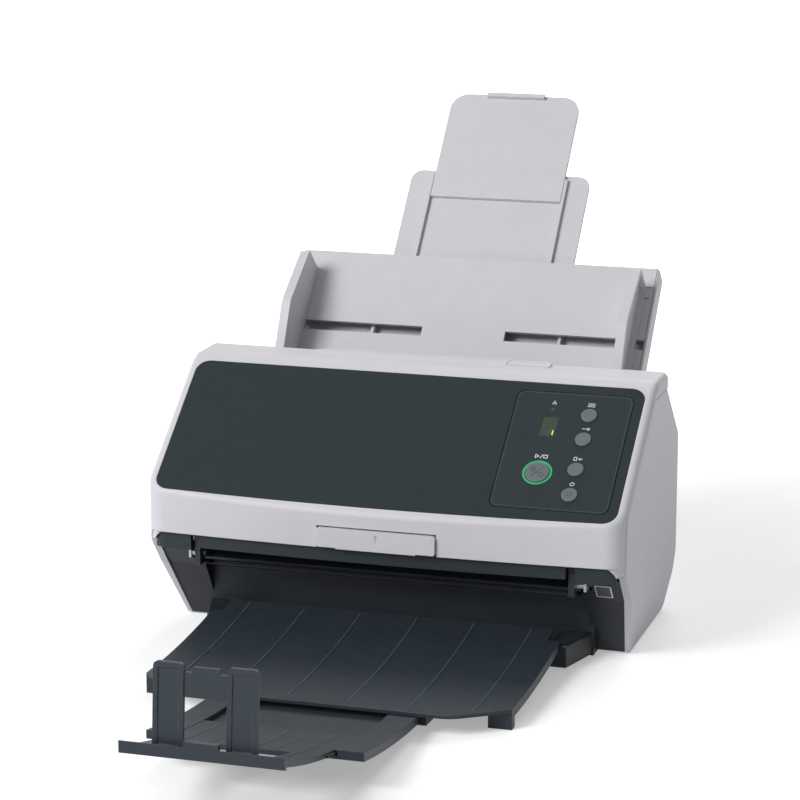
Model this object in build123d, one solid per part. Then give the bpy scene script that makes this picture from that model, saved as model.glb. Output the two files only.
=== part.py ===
from build123d import *
from math import asin, atan2, cos, degrees, pi, radians, sin, sqrt, tan
import os

# A desktop sheet-fed document scanner. Sheets stand on the sloping chute at the back, are picked one
# by one, pass between a fixed lower unit and a hinged top cover, and drop on the stacker in front.
# X runs to the right, Y to the rear and Z up. While it is modelled, Y = 0 is the front of the housing's
# foot and Z = 0 the desk. The last step moves the whole model in Y to the middle of its footprint.

# Housing
BODY_WIDTH = 300.0
HALF = BODY_WIDTH / 2
BAND_FRONT = -57.0
BODY_REAR = 113.0
FRONT_BOW = 5.4
FRONT_CORNER = 13.0
REAR_CORNER = 12.0
LEDGE_TOP = 162.0
LEDGE_REAR = 66.0
BAND_BOTTOM = 68.2
SKIRT_BOTTOM = 62.0
MOUTH_ROUND = 9.0
WALL = 2.5
JAMB_EDGE = 4.6
JAMB_FOOT_EDGE = 2.8
SEAM = 0.4
GROUND_GAP = 1.0
FOOT_DRAW = 7.0
TAPER_TOP = 42.0
SIDE_FLANGE = 14.0
EDGE_ROUND = 4.2

# Front of the housing in side view: foot, knee and, set back from them, the dark jambs beside the exit
FOOT_FRONT = 1.0
KNEE_Y = -26.0
KNEE_Z = 41.0
SKIRT_STEP = 1.0
JAMB_FOOT_Y = 1.6
JAMB_KNEE_Y = -24.6
JAMB_TOP_Y = -39.0
JAMB_THICK = 3.6
EXIT_WALL_Y = -11.0
EXIT_WALL_THICK = 3.0
EXIT_WALL_TOP = 37.0
NOTCH_LOW = 42.5
NOTCH_REAR = -26.5

# Sloping front panel, given by its upper edge and its slope
PANEL_TOP_Y = 30.7
PANEL_TOP_Z = 158.5
PANEL_SLOPE = 37.6
PANEL_RIM = 5.3
PANEL_HALF = HALF - PANEL_RIM
PANEL_LENGTH = 103.0
PANEL_BOW = 2.9
PANEL_CORNER = 9.0
PANEL_THICK = 2.5
PANEL_FLANGE = 1.5
RIM_DEPTH = 5.0

# Side covers
SIDE_TOP = 151.7
SIDE_FRONT = -43.0
SLANT_Y = 64.5
SLANT_LOW_Z = 104.5
REAR_LOW_Z = 30.0
BASE_REAR = 99.0
RISER_Y = 101.5
RISER_TOP = 122.5

# Paper path: a straight run to the exit, met by the chute's slope
EXIT_Y = -36.0
EXIT_Z = 50.0
PATH_SLOPE = 26.0
CHUTE_Y = 119.0
CHUTE_Z = 149.9
CHUTE_SLOPE = 48.0
PATH_BEND = 80.0
PAPER_GAP = 2.0
GUIDE_SKIN = 2.0
GUIDE_FLANGE = 5.5

# Inner frames, bushes and shafts
FRAME_INSET = 26.0
FRAME_X = HALF - FRAME_INSET
GUIDE_CLEAR = 3.2
GUIDE_HALF = FRAME_X - GUIDE_CLEAR
JAMB_INNER = FRAME_X - SEAM
FRAME_CLEAR = 0.8
FRAME_THICK = 1.5
BUSH_RADIUS = 5.0
BUSH_LENGTH = 4.5
SHAFT_RADIUS = 3.0
SHAFT_PLAY = 0.05
ROLLER_PLAY = 0.3
WINDOW_PLAY = 0.9

# Rollers: distance of the nip along the path, tyre radius, inner and outer end of each tyre
PICK_T = 109.0
PICK_RADIUS = 11.0
PICK_TYRE = (8.0, 28.0)
BRAKE_RADIUS = 9.0
FEED_T = 82.3
FEED_RADIUS = 8.0
FEED_TYRE = (32.0, 54.0)
EXIT_T = 20.0
IDLER_RADIUS = 6.0
EXIT_IDLER_RADIUS = 5.0

# Image sensors, as far in from the paper guide's edge as their length gives
OPTICS_INSET = 9.3
OPTICS_HALF = GUIDE_HALF - OPTICS_INSET
OPTICS_T = 46.0
OPTICS_LENGTH = 24.0
OPTICS_DEPTH = 22.0
OPTICS_WALL = 4.0
GLASS_THICK = 2.0
GLASS_SEAT = 1.0

# Gears
MODULE = 1.0
PRESSURE_ANGLE = 20.0
BACKLASH = 0.16
TOOTH_TIP = 0.95
TOOTH_ROOT = 1.25
FEED_TEETH = 24
IDLER_TEETH = 40
MOTOR_TEETH = 12
PICK_TEETH = 30
RACK_TEETH = 18
GEAR_WIDTH = 5.0
GEAR_SETOFF = 4.0
GEAR_X = FRAME_X + GEAR_SETOFF
TEETH_CLEAR = 0.45
IDLER_STUD = 2.5
MOTOR_RADIUS = 13.0
MOTOR_LENGTH = 30.0
MOTOR_SHAFT = 1.5
MOTOR_ANGLE = -66.4
PICK_MOTOR_ANGLE = -61.6

# Top cover: hinge, chassis and latch
HINGE_Y = 65.0
HINGE_Z = 141.0
HINGE_PIN = 2.5
CHASSIS_INSET = 11.5
CHASSIS_X = FRAME_X - CHASSIS_INSET
CHASSIS_WALL = 2.5
LINTEL_BOTTOM = 57.5
LINTEL_MIDDLE = 59.5
LINTEL_REAR = 1.5
LINTEL_BACK = 2.7
WAVE_HALF = 77.0
WAVE_REACH = 13.0
LATCH_Y = -45.5
LATCH_Z = 74.0
LATCH_SHAFT = 2.0
HOOK_INSET = 8.0
HOOK_X = FRAME_X - HOOK_INSET
HOOK_CLEAR = 1.0
BRIDGE_LOW = 67.0
BRIDGE_BACK = -49.5
HOOK_WIDTH = 3.5
STRIKE_Y = -38.5
STRIKE_Z = 53.0
STRIKE_RADIUS = 2.0

# Release tab
TAB_HALF = 37.0
TAB_TOP = 81.0
TAB_LOW = 69.0
TAB_THICK = 3.0
TAB_PROUD = 1.5
TAB_GAP = 0.4
TAB_PIN = 1.0
TAB_HEADROOM = 0.8

# Operator panel on the front panel: x and distance down the slope
BEZEL_SIDE = 6.4
BEZEL_WIDTH = 72.0
BEZEL_RIGHT = PANEL_HALF - BEZEL_SIDE
BEZEL_LEFT = BEZEL_RIGHT - BEZEL_WIDTH
BEZEL_START = 7.0
BEZEL_END = 96.5
BEZEL_CORNER = 5.0
BEZEL_GAP = 0.5
BUTTON_X = BEZEL_RIGHT - 25.1
BUTTON_DOWN = {"function": 23.6, "send": 42.1, "manual_feed": 65.3, "power": 84.4}
BUTTON_RADIUS = 5.0
BUTTON_GAP = 0.3
BUTTON_PROUD = 1.0
BUTTON_TRAVEL = 0.8
COLLAR = 1.0
COLLAR_THICK = 1.2
SCAN_X = BEZEL_LEFT + 24.3
SCAN_DOWN = 69.5
SCAN_RADIUS = 7.4
RING_WIDTH = 1.4
DISPLAY_X = BEZEL_LEFT + 23.9
DISPLAY_START = 26.0
DISPLAY_END = 41.0
DISPLAY_WIDTH = 9.4
LAMP_DOWN = 20.9
LAMP_RADIUS = 1.4
BOARD_DEPTH = 10.0
BOARD_THICK = 1.6
SWITCH_SIZE = 6.0
SWITCH_GAP = 0.3

# Chute with its side guides and extensions: s runs up the slope from the reference point
CHUTE_INSET = 28.0
CHUTE_HALF = HALF - CHUTE_INSET
CHUTE_LOW = -30.0
CHUTE_HIGH = 77.0
CHUTE_THICK = 13.0
CHUTE_SKIN = 2.0
CHUTE_CORNER = 2.5
SEAM_INSET = 1.4
SEAM_DEPTH = 0.8
LEG_INSET = 12.0
LEG_WIDTH = 4.0
LEG_DEPTH = 4.0
LEG_REACH = 15.0
LEG_CLEAR = 1.5
GUIDE_SIDE = 13.0
GUIDE_INNER = CHUTE_HALF - GUIDE_SIDE
GUIDE_WEB = 2.5
GUIDE_RIM = 6.0
GUIDE_TRAVEL = 80.0
GUIDE_LIFT = 0.3
GUIDE_PROFILE = [(-16.0, 25.0), (16.5, 34.0), (62.5, 22.5)]
PINION_S = 19.0
ARM_THICK = 2.5
ARM_DEPTH = 2.4
STEM_HALF = 3.3
EXT_A_HALF = 62.0
EXT_A_LOW = 50.0
EXT_A_HIGH = 150.0
EXT_B_HALF = 45.0
EXT_B_LOW = 128.0
EXT_B_HIGH = 212.0
EXT_PLATE = 2.3
EXT_GAP = 0.3

# Stacker: a shallow trough curved about a far centre above it
CURVE_Y = -136.0
CURVE_Z = 691.0
CURVE_RADIUS = 679.0
STACKER_INSET = 14.0
STACKER_HALF = FRAME_X - STACKER_INSET
STACKER_BACK = -27.0
STACKER_FRONT = -152.0
STACKER_BOW = 24.0
STACKER_SKIN = 2.0
STACKER_RIM = 5.5
PIVOT_Y = -37.0
PIVOT_Z = 10.0
PIVOT_PIN = 2.0
KNUCKLE = 4.5
EAR_LAP = 7.0
EAR_PROUD = 4.0
EAR_INNER = STACKER_HALF - EAR_LAP
EAR_OUTER = STACKER_HALF + EAR_PROUD
EAR_ROOT = FRAME_X - 1.0
EAR_FRONT = -42.0
EAR_TOP = 16.0
SLEDGE_HALF = 61.4
SLEDGE_FRONT = -272.0
SLEDGE_BACK = -156.0
SLEDGE_THICK = 5.0
SLEDGE_GAP = 0.3
RAIL_WIDTH = 3.5
LIP_WIDTH = 4.0
TIP_HALF = 44.7
TIP_FRONT = -350.0
TIP_BACK = -229.0
TONGUE_FRONT = -285.0
TONGUE = 1.5

# Stopper at the stacker's tip
STOPPER_Y = -344.0
STOPPER_DEPTH = 4.0
STOPPER_HALF = 28.3
STOPPER_HEIGHT = 47.0
STOPPER_THICK = 2.8
STOPPER_LEAN = 5.2
POST_WIDTH = 16.5
STOPPER_BAR = 13.0
STOPPER_PIN = 1.2

# Rear boards and sockets
BOARD_Y = 99.0
BOARD_LEFT = -100.0
BOARD_RIGHT = 40.0
BOARD_LOW = 36.0
BOARD_HIGH = 86.0
INLET_X = -84.0
INLET_SIZE = 10.0
INLET_BORE = 2.85
USB_X = -54.0
USB_WIDTH = 12.0
USB_HEIGHT = 11.0
LAN_X = -24.0
LAN_WIDTH = 16.0
LAN_HEIGHT = 13.6
SOCKET_Z = 46.0
SOCKET_CLEAR = 0.4
SOCKET_DEPTH = 9.0
VENT_WIDTH = 2.6
VENT_PITCH = 5.4
VENT_COUNT = 13
VENT_START = 56.0
VENT_LOW = 46.0
VENT_HIGH = 84.0
LOCK_WIDTH = 7.2
LOCK_HEIGHT = 3.2
LOCK_X = HALF - 32.0
LOCK_Z = 94.0

# Feet and screws
TRAY_THICK = 3.0
RUBBER_RADIUS = 7.0
RUBBER_X = HALF - 28.0
RUBBER_Y = (16.0, 82.0)
SCREW_X = FRAME_X - 7.0
SCREW_Y = (30.0, 66.0)
SCREW_RADIUS = 1.5
SCREW_HEAD = 3.0
SCREW_HEAD_THICK = 1.4


# Frames of reference
def tilted(y, z, slope):
    """A plane whose own X is the world's, whose Y climbs to the rear at the slope, and Z its normal."""
    normal = (0, -sin(radians(slope)), cos(radians(slope)))
    return Plane(origin=(0, y, z), x_dir=(1, 0, 0), z_dir=normal)


PANEL = tilted(PANEL_TOP_Y, PANEL_TOP_Z, PANEL_SLOPE)
PATH = tilted(EXIT_Y, EXIT_Z, PATH_SLOPE)
CHUTE = tilted(CHUTE_Y, CHUTE_Z, CHUTE_SLOPE)


def on_frame(frame, along, out):
    """World (y, z) of a point given along a tilted frame and out from it."""
    point = frame.from_local_coords((0, along, out))
    return point.Y, point.Z


# Basic solids
def block(x0, x1, y0, y1, z0, z1, frame=Plane.XY):
    middle = Pos((x0 + x1) / 2, (y0 + y1) / 2, (z0 + z1) / 2)
    return frame.location * middle * Box(x1 - x0, y1 - y0, z1 - z0)


def rod(y, z, radius, x0, x1):
    """A cylinder along X."""
    return Pos((x0 + x1) / 2, y, z) * Rot(0, 90, 0) * Cylinder(radius, x1 - x0)


def post(frame, x, along, radius, out0, out1):
    """A cylinder standing on a tilted frame."""
    return frame.location * Pos(x, along, (out0 + out1) / 2) * Cylinder(radius, out1 - out0)


def outline(points):
    """A face from (u, v) corners, each with an optional radius."""
    face = make_face(Polyline(*[(p[0], p[1]) for p in points], close=True))
    for corner in [p for p in points if len(p) == 3]:
        nearest = face.vertices().sort_by_distance((corner[0], corner[1], 0))[0]
        face = fillet(nearest, corner[2])
    return face


def side_prism(face, x0, x1):
    """Extrude a face drawn in (y, z) from x0 to x1."""
    return extrude(Plane.YZ.offset(x0).location * face, x1 - x0, dir=(1, 0, 0))


def plate(frame, face, out0, out1):
    """Extrude a face drawn on a tilted frame from out0 to out1."""
    return extrude(frame.offset(out0).location * face, out1 - out0, dir=frame.z_dir)


def both_sides(solid):
    return solid + mirror(solid, about=Plane.YZ)


def rounded(width, height, radius):
    return RectangleRounded(width, height, radius)


# Outlines that several pieces share
def plan_solid(inset):
    """The housing seen from above: bowed front, rounded corners, as a tall block."""
    half = HALF - inset
    front = BAND_FRONT + inset
    rear = BODY_REAR - inset
    shoulder = front + FRONT_BOW
    edges = [
        ThreePointArc((half, shoulder), (0, front), (-half, shoulder)),
        Line((-half, shoulder), (-half, rear)),
        Line((-half, rear), (half, rear)),
        Line((half, rear), (half, shoulder)),
    ]
    face = make_face(edges)
    face = fillet(face.vertices().filter_by(lambda v: v.Y < 0), FRONT_CORNER - inset)
    face = fillet(face.vertices().filter_by(lambda v: v.Y > rear - 0.1), REAR_CORNER - inset)
    return extrude(face, LEDGE_TOP + 10)


def panel_z(y, depth=0.0):
    """Height of the panel's plane, or of one lying the given depth under it."""
    slope = radians(PANEL_SLOPE)
    return PANEL_TOP_Z + (y - PANEL_TOP_Y) * tan(slope) - depth / cos(slope)


def panel_y(z, depth=0.0):
    slope = radians(PANEL_SLOPE)
    return PANEL_TOP_Y + (z - PANEL_TOP_Z + depth / cos(slope)) / tan(slope)


def body_face(inset=0.0):
    """Side view of the fixed housing, or of its inner face the given inset under it."""
    low = GROUND_GAP + inset
    top = SIDE_TOP - inset
    slant = (BODY_REAR - SLANT_Y) / (SIDE_TOP - SLANT_LOW_Z)
    points = [
        (FOOT_FRONT + inset * 0.5, low),
        (KNEE_Y + inset * 0.5, KNEE_Z),
        (SIDE_FRONT + inset * 0.5, SKIRT_BOTTOM - SKIRT_STEP),
        (SIDE_FRONT + inset * 0.5, panel_z(SIDE_FRONT, RIM_DEPTH + SEAM) - inset),
        (panel_y(top, RIM_DEPTH + SEAM + inset), top),
        (SLANT_Y - inset * 0.4, top),
        (BODY_REAR - inset, SLANT_LOW_Z - inset * 0.4 * slant, 9.0),
        (BODY_REAR - inset, REAR_LOW_Z, 12.0),
        (BASE_REAR - inset * 0.5, low, 6.0),
    ]
    return outline(points)


def taper_solid(inset, foot_inset=None):
    """The housing seen from the front: upright sides that draw in towards the desk."""
    half = HALF - inset
    foot = HALF - FOOT_DRAW - (inset if foot_inset is None else foot_inset)
    top = LEDGE_TOP + 10
    points = [(-foot, 0), (foot, 0), (half, TAPER_TOP), (half, top), (-half, top), (-half, TAPER_TOP)]
    face = Plane.XZ.offset(-BODY_REAR - 20).location * outline(points)
    return extrude(face, BODY_REAR - BAND_FRONT + 60, dir=(0, -1, 0))


def nip(along, radius, upper=False):
    """Centre (y, z) of a roller that touches the sheet at the given place along the path."""
    if upper:
        return on_frame(PATH, along, radius + ROLLER_PLAY + 0.2)
    return on_frame(PATH, along, 0.2 - radius)


PICK = nip(PICK_T, PICK_RADIUS)
BRAKE = nip(PICK_T, BRAKE_RADIUS, upper=True)
FEED = nip(FEED_T, FEED_RADIUS)
FEED_IDLER = nip(FEED_T, IDLER_RADIUS, upper=True)
EXIT = nip(EXIT_T, FEED_RADIUS)
EXIT_IDLER = nip(EXIT_T, EXIT_IDLER_RADIUS, upper=True)


def path_corner():
    """Where the path's straight run would meet the chute's slope."""
    rise = tan(radians(PATH_SLOPE))
    climb = tan(radians(CHUTE_SLOPE))
    y = (CHUTE_Z - EXIT_Z + EXIT_Y * rise - CHUTE_Y * climb) / (rise - climb)
    return y, EXIT_Z + (y - EXIT_Y) * rise


def gear_train():
    """Centres of the idler gear, which meshes with both roller gears, and of the motor's pinion."""
    reach = MODULE * (FEED_TEETH + IDLER_TEETH) / 2
    span = sqrt((FEED[0] - EXIT[0]) ** 2 + (FEED[1] - EXIT[1]) ** 2)
    drop = sqrt(reach**2 - (span / 2) ** 2)
    tilt = atan2(FEED[1] - EXIT[1], FEED[0] - EXIT[0])
    idler = (
        (FEED[0] + EXIT[0]) / 2 + drop * sin(tilt),
        (FEED[1] + EXIT[1]) / 2 - drop * cos(tilt),
    )
    arm = MODULE * (MOTOR_TEETH + IDLER_TEETH) / 2
    angle = radians(MOTOR_ANGLE)
    motor = (idler[0] + arm * cos(angle), idler[1] + arm * sin(angle))
    arm = MODULE * (MOTOR_TEETH + PICK_TEETH) / 2
    angle = radians(PICK_MOTOR_ANGLE)
    pick_motor = (PICK[0] + arm * cos(angle), PICK[1] + arm * sin(angle))
    return idler, motor, pick_motor


IDLER, MOTOR, PICK_MOTOR = gear_train()


# Gear teeth
def involute_point(base, radius, offset, sign):
    roll = sqrt(max((radius / base) ** 2 - 1, 0))
    angle = offset + sign * (roll - atan2(roll, 1))
    return radius * cos(angle), radius * sin(angle)


def gear_face(teeth, phase=0.0):
    """An involute spur gear, the middle of one tooth at the phase angle, backlash taken from the flanks."""
    pitch = MODULE * teeth / 2
    base = pitch * cos(radians(PRESSURE_ANGLE))
    tip = pitch + MODULE * TOOTH_TIP
    root = pitch - MODULE * TOOTH_ROOT
    start = max(base, root)
    flank = tan(radians(PRESSURE_ANGLE)) - radians(PRESSURE_ANGLE)
    half = pi / (2 * teeth) - BACKLASH / (4 * pitch) + flank
    steps = [start + (tip - start) * i / 4 for i in range(5)]
    points = []
    for tooth in range(teeth):
        middle = phase + 2 * pi * tooth / teeth
        for side, radii in ((1, steps), (-1, steps[::-1])):
            if side > 0:
                points.append((root * cos(middle - half), root * sin(middle - half)))
            points += [involute_point(base, r, middle - side * half, side) for r in radii]
            if side < 0:
                points.append((root * cos(middle + half), root * sin(middle + half)))
    kept = [p for i, p in enumerate(points) if dist(p, points[i - 1]) > 0.01]
    return make_face(Polyline(*kept, close=True))


def dist(a, b):
    return sqrt((a[0] - b[0]) ** 2 + (a[1] - b[1]) ** 2)


def gear(centre, teeth, bore, x0, x1, phase):
    """A gear on the X axis, drawn in (y, z)."""
    face = gear_face(teeth, phase) - Circle(bore)
    return side_prism(Pos(*centre) * face, x0, x1)


def mesh_phase(driver, driver_teeth, driver_phase, driven, driven_teeth):
    """Phase of a gear so that a space of it meets the tooth of its neighbour."""
    line = atan2(driven[1] - driver[1], driven[0] - driver[0])
    offset = (line - driver_phase) * driver_teeth / (2 * pi)
    return line + pi - (0.5 - offset) * 2 * pi / driven_teeth


# Fixed housing
def side_cover():
    """Right side cover: a shell that closes the side, wraps the rear corner and draws in at the foot."""
    inner = HALF - SIDE_FLANGE
    outer = side_prism(body_face(), inner, HALF + 1) & taper_solid(0) & plan_solid(0)
    hollow = side_prism(body_face(WALL), inner - 1, HALF) & taper_solid(WALL) & plan_solid(WALL)
    mouth = side_prism(jamb_gap(), inner - 1, HALF) & taper_solid(JAMB_EDGE, JAMB_FOOT_EDGE)
    return outer - hollow - mouth


def jamb_gap():
    """Side view of the open front of the side cover, where the dark front frame shows."""
    back = SIDE_FRONT + 3
    front = SIDE_FRONT - 10
    high = LINTEL_BOTTOM + 40
    foot = FOOT_FRONT + 7
    return outline([
        (foot, GROUND_GAP + WALL), (KNEE_Y + 4, KNEE_Z + 4), (back, SKIRT_BOTTOM), (back, high),
        (front, high), (front, KNEE_Z - 1), (KNEE_Y + 6, 0.0), (foot, 0.0),
    ])


def rear_shell():
    """Rear cover between the side covers: sloping deck, upright wall and lower curve."""
    half = HALF - SIDE_FLANGE - SEAM
    ring = side_prism(body_face(), -half, half) - side_prism(body_face(WALL), -half - 1, half + 1)
    deck = block(-half, half, deck_start()[0], BODY_REAR + 1, 80, LEDGE_TOP)
    deck += both_sides(block(CHUTE_HALF + 2, half, LEDGE_REAR + SEAM, BODY_REAR + 1, 80, LEDGE_TOP))
    wall = block(-half, half, BASE_REAR + SEAM, BODY_REAR + 1, 0, 100)
    riser = block(-FRAME_X + 6, FRAME_X - 6, RISER_Y, RISER_Y + WALL, deck_z(RISER_Y) - WALL,
                  RISER_TOP)
    return (ring & (deck + wall)) + riser


def deck_z(y):
    """Height of the sloping rear deck."""
    return SIDE_TOP - (y - SLANT_Y) * (SIDE_TOP - SLANT_LOW_Z) / (BODY_REAR - SLANT_Y)


def deck_start():
    """Where the chute's surface dips under the sloping rear deck, with the paper guide's edge before it."""
    return on_frame(CHUTE, CHUTE_LOW + SEAM, 0)


def rear_cover():
    shell = rear_shell()
    for index in range(VENT_COUNT):
        x = VENT_START + index * VENT_PITCH
        if abs(x) < HALF - SIDE_FLANGE - 6:
            slot = block(x, x + VENT_WIDTH, BODY_REAR - 5, BODY_REAR + 5, VENT_LOW, VENT_HIGH)
            shell -= slot
    for x, width, height in socket_sizes():
        shell -= socket_cut(x, width, height)
    lock = block(LOCK_X - LOCK_WIDTH / 2, LOCK_X + LOCK_WIDTH / 2, BODY_REAR - 5, BODY_REAR + 5,
                 LOCK_Z - LOCK_HEIGHT / 2, LOCK_Z + LOCK_HEIGHT / 2)
    shell -= lock
    for x, z in board_posts():
        start = BOARD_Y + BOARD_THICK
        shell += Pos(x, (start + BODY_REAR - 1) / 2, z) * Rot(90, 0, 0) * Cylinder(3, BODY_REAR - 1 - start)
    return shell


def socket_sizes():
    return [
        (INLET_X, INLET_SIZE, INLET_SIZE),
        (USB_X, USB_WIDTH, USB_HEIGHT),
        (LAN_X, LAN_WIDTH, LAN_HEIGHT),
    ]


def socket_cut(x, width, height):
    half = width / 2 + SOCKET_CLEAR
    return block(x - half, x + half, BODY_REAR - 6, BODY_REAR + 5, SOCKET_Z - SOCKET_CLEAR,
                 SOCKET_Z + height + SOCKET_CLEAR)


def board_posts():
    inset = 5.0
    columns = (BOARD_LEFT + inset, BOARD_RIGHT - inset)
    rows = (BOARD_LOW + inset, BOARD_HIGH - inset)
    return [(x, z) for x in columns for z in rows]


def base_tray():
    """Bottom tray with a low front and rear wall, counterbored for the screws and the feet."""
    half = HALF - SIDE_FLANGE - SEAM
    low = GROUND_GAP
    top = low + TRAY_THICK
    front = JAMB_FOOT_Y + JAMB_THICK + SEAM
    tray = block(-half, half, front, BASE_REAR, low, top)
    between = JAMB_INNER - WALL - SEAM
    tray += block(-between, between, EXIT_WALL_Y + EXIT_WALL_THICK + SEAM, front + 1, low, top)
    tray += block(-FRAME_X + 14, FRAME_X - 14, BASE_REAR - 6, BASE_REAR - 3, top, top + 8)
    for x in (-SCREW_X, SCREW_X):
        for y in SCREW_Y:
            tray -= Pos(x, y, low) * Cylinder(SCREW_HEAD + 0.2, 2 * SCREW_HEAD_THICK)
            tray -= Pos(x, y, low) * Cylinder(SCREW_RADIUS, 20)
    for x in (-RUBBER_X, RUBBER_X):
        for y in RUBBER_Y:
            tray -= Pos(x, y, low + 0.5) * Cylinder(RUBBER_RADIUS, 1.0)
    return tray


def rubber_feet():
    feet = []
    top = GROUND_GAP + 1.0
    for x in (-RUBBER_X, RUBBER_X):
        for y in RUBBER_Y:
            feet.append(Pos(x, y, top / 2) * Cylinder(RUBBER_RADIUS, top))
    return Compound(children=feet)


def base_screws():
    screws = []
    low = GROUND_GAP
    grip = TRAY_THICK + FRAME_THICK + 3
    for x in (-SCREW_X, SCREW_X):
        for y in SCREW_Y:
            head = Pos(x, y, low + SCREW_HEAD_THICK / 2) * Cylinder(SCREW_HEAD, SCREW_HEAD_THICK)
            shank = Pos(x, y, low + grip / 2) * Cylinder(SCREW_RADIUS, grip)
            slot = block(x - 2, x + 2, y - 0.4, y + 0.4, low - 1, low + 0.6)
            screws.append(head + shank - slot)
    return Compound(children=screws)


def inner_frame():
    """Steel side frame with its bent foot and strike pin, bored for the bushes and the hinge pin."""
    floor = GROUND_GAP + TRAY_THICK
    clear = 4.0
    behind = JAMB_THICK + FRAME_CLEAR
    front = STRIKE_Y + 4.5
    points = [
        (jamb_y(floor) + behind, floor), (jamb_y(KNEE_Z) + behind, KNEE_Z), (front, SKIRT_BOTTOM - 2),
        (front, panel_z(front, RIM_DEPTH + clear)),
        (panel_y(SIDE_TOP - clear, RIM_DEPTH + clear), SIDE_TOP - clear), (HINGE_Y - 4, SIDE_TOP - clear),
        (HINGE_Y + 3, HINGE_Z + 2.6, 1.0), (BODY_REAR - 9, SLANT_LOW_Z - 3), (BODY_REAR - 9, 40.0),
        (BASE_REAR - 9, floor),
    ]
    sheet = side_prism(outline(points), FRAME_X, FRAME_X + FRAME_THICK)
    sheet += block(FRAME_X - 12, FRAME_X + FRAME_THICK, 20, 76, floor, floor + FRAME_THICK)
    for y in SCREW_Y:
        sheet -= Pos(SCREW_X, y, floor) * Cylinder(SCREW_RADIUS, 20)
    for centre in (PICK, FEED, EXIT):
        sheet -= rod(*centre, BUSH_RADIUS, FRAME_X - 2, FRAME_X + 5)
    sheet -= rod(HINGE_Y, HINGE_Z, HINGE_PIN, FRAME_X - 2, FRAME_X + 5)
    sheet += rod(STRIKE_Y, STRIKE_Z, STRIKE_RADIUS, HOOK_X - 0.5, FRAME_X)
    arm = outline([(STRIKE_Y - 3, STRIKE_Z - 3), (STRIKE_Y + 8, STRIKE_Z - 3),
                   (STRIKE_Y + 8, STRIKE_Z + 3), (STRIKE_Y - 3, STRIKE_Z + 3)])
    return sheet + side_prism(arm, FRAME_X, FRAME_X + FRAME_THICK)


def right_inner_frame():
    """Right frame, bored for the feed motor, with the idler gear's stud riveted in."""
    frame = inner_frame() - rod(*MOTOR, MOTOR_SHAFT + 1, FRAME_X - 2, FRAME_X + 5)
    return frame + rod(*IDLER, IDLER_STUD, FRAME_X, GEAR_X + GEAR_WIDTH + 1)


def left_inner_frame():
    frame = inner_frame() - rod(*PICK_MOTOR, MOTOR_SHAFT + 1, FRAME_X - 2, FRAME_X + 5)
    return mirror(frame, about=Plane.YZ)


def shaft_bushes():
    """Plain bushes pressed in the frames, two for each driven shaft."""
    start = FRAME_X - 1.5
    rings = []
    for centre in (PICK, FEED, EXIT):
        ring = rod(*centre, BUSH_RADIUS, start, start + BUSH_LENGTH)
        ring -= rod(*centre, SHAFT_RADIUS + SHAFT_PLAY, start - 1, start + BUSH_LENGTH + 1)
        rings += [ring, mirror(ring, about=Plane.YZ)]
    return Compound(children=rings)


def hinge_pins():
    pin = rod(HINGE_Y, HINGE_Z, HINGE_PIN, CHASSIS_X - 2, FRAME_X + FRAME_THICK + 2)
    return Compound(children=[pin, mirror(pin, about=Plane.YZ)])


def path_band(out0, out1, start, high):
    """Side view of a thin skin along the path, from the exit end to the chute's slope."""
    turn = PATH_SLOPE + CHUTE_SLOPE
    corner = path_corner()
    half = radians(turn / 2)
    widen = cos(radians((CHUTE_SLOPE - PATH_SLOPE) / 2))
    inner = (corner[0] - out0 * sin(half) / widen, corner[1] + out0 * cos(half) / widen, PATH_BEND - out0)
    outer = (corner[0] - out1 * sin(half) / widen, corner[1] + out1 * cos(half) / widen, PATH_BEND - out1)
    return outline([
        on_frame(PATH, start, out0), inner, on_frame(CHUTE, high, out0),
        on_frame(CHUTE, high, out1), outer, on_frame(PATH, start, out1),
    ])


def lower_paper_guide():
    """Dark floor of the paper path, with windows for the tyres and the glass."""
    skin = side_prism(path_band(-GUIDE_SKIN, 0, 0, CHUTE_LOW), -GUIDE_HALF, GUIDE_HALF)
    deep = -GUIDE_SKIN - GUIDE_FLANGE
    side = side_prism(path_band(deep, -GUIDE_SKIN, 12, CHUTE_LOW - 10), GUIDE_HALF - 2, GUIDE_HALF)
    tab = block(GUIDE_HALF - 2, FRAME_X, 50, 62, deep, -GUIDE_SKIN, PATH)
    skin += both_sides(side + tab)
    for centre, radius, tyre in ((PICK, PICK_RADIUS, PICK_TYRE), (FEED, FEED_RADIUS, FEED_TYRE),
                                 (EXIT, FEED_RADIUS, FEED_TYRE)):
        window = rod(*centre, radius + WINDOW_PLAY, tyre[0] - 1, tyre[1] + 1)
        skin -= both_sides(window)
        skin -= rod(*centre, SHAFT_RADIUS + WINDOW_PLAY, -FRAME_X, FRAME_X)
    start = OPTICS_T + OPTICS_WALL - GLASS_SEAT - SEAM / 2
    end = OPTICS_T + OPTICS_LENGTH - OPTICS_WALL + GLASS_SEAT + SEAM / 2
    return skin - block(-OPTICS_HALF + 1, OPTICS_HALF - 1, start, end, -9, 1, PATH)


def scan_glass(upper=False):
    start = OPTICS_T + OPTICS_WALL - GLASS_SEAT
    end = OPTICS_T + OPTICS_LENGTH - OPTICS_WALL + GLASS_SEAT
    half = OPTICS_HALF - 1 - SEAM / 2
    low = PAPER_GAP if upper else -GLASS_THICK
    return block(-half, half, start, end, low, low + GLASS_THICK, PATH)


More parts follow.
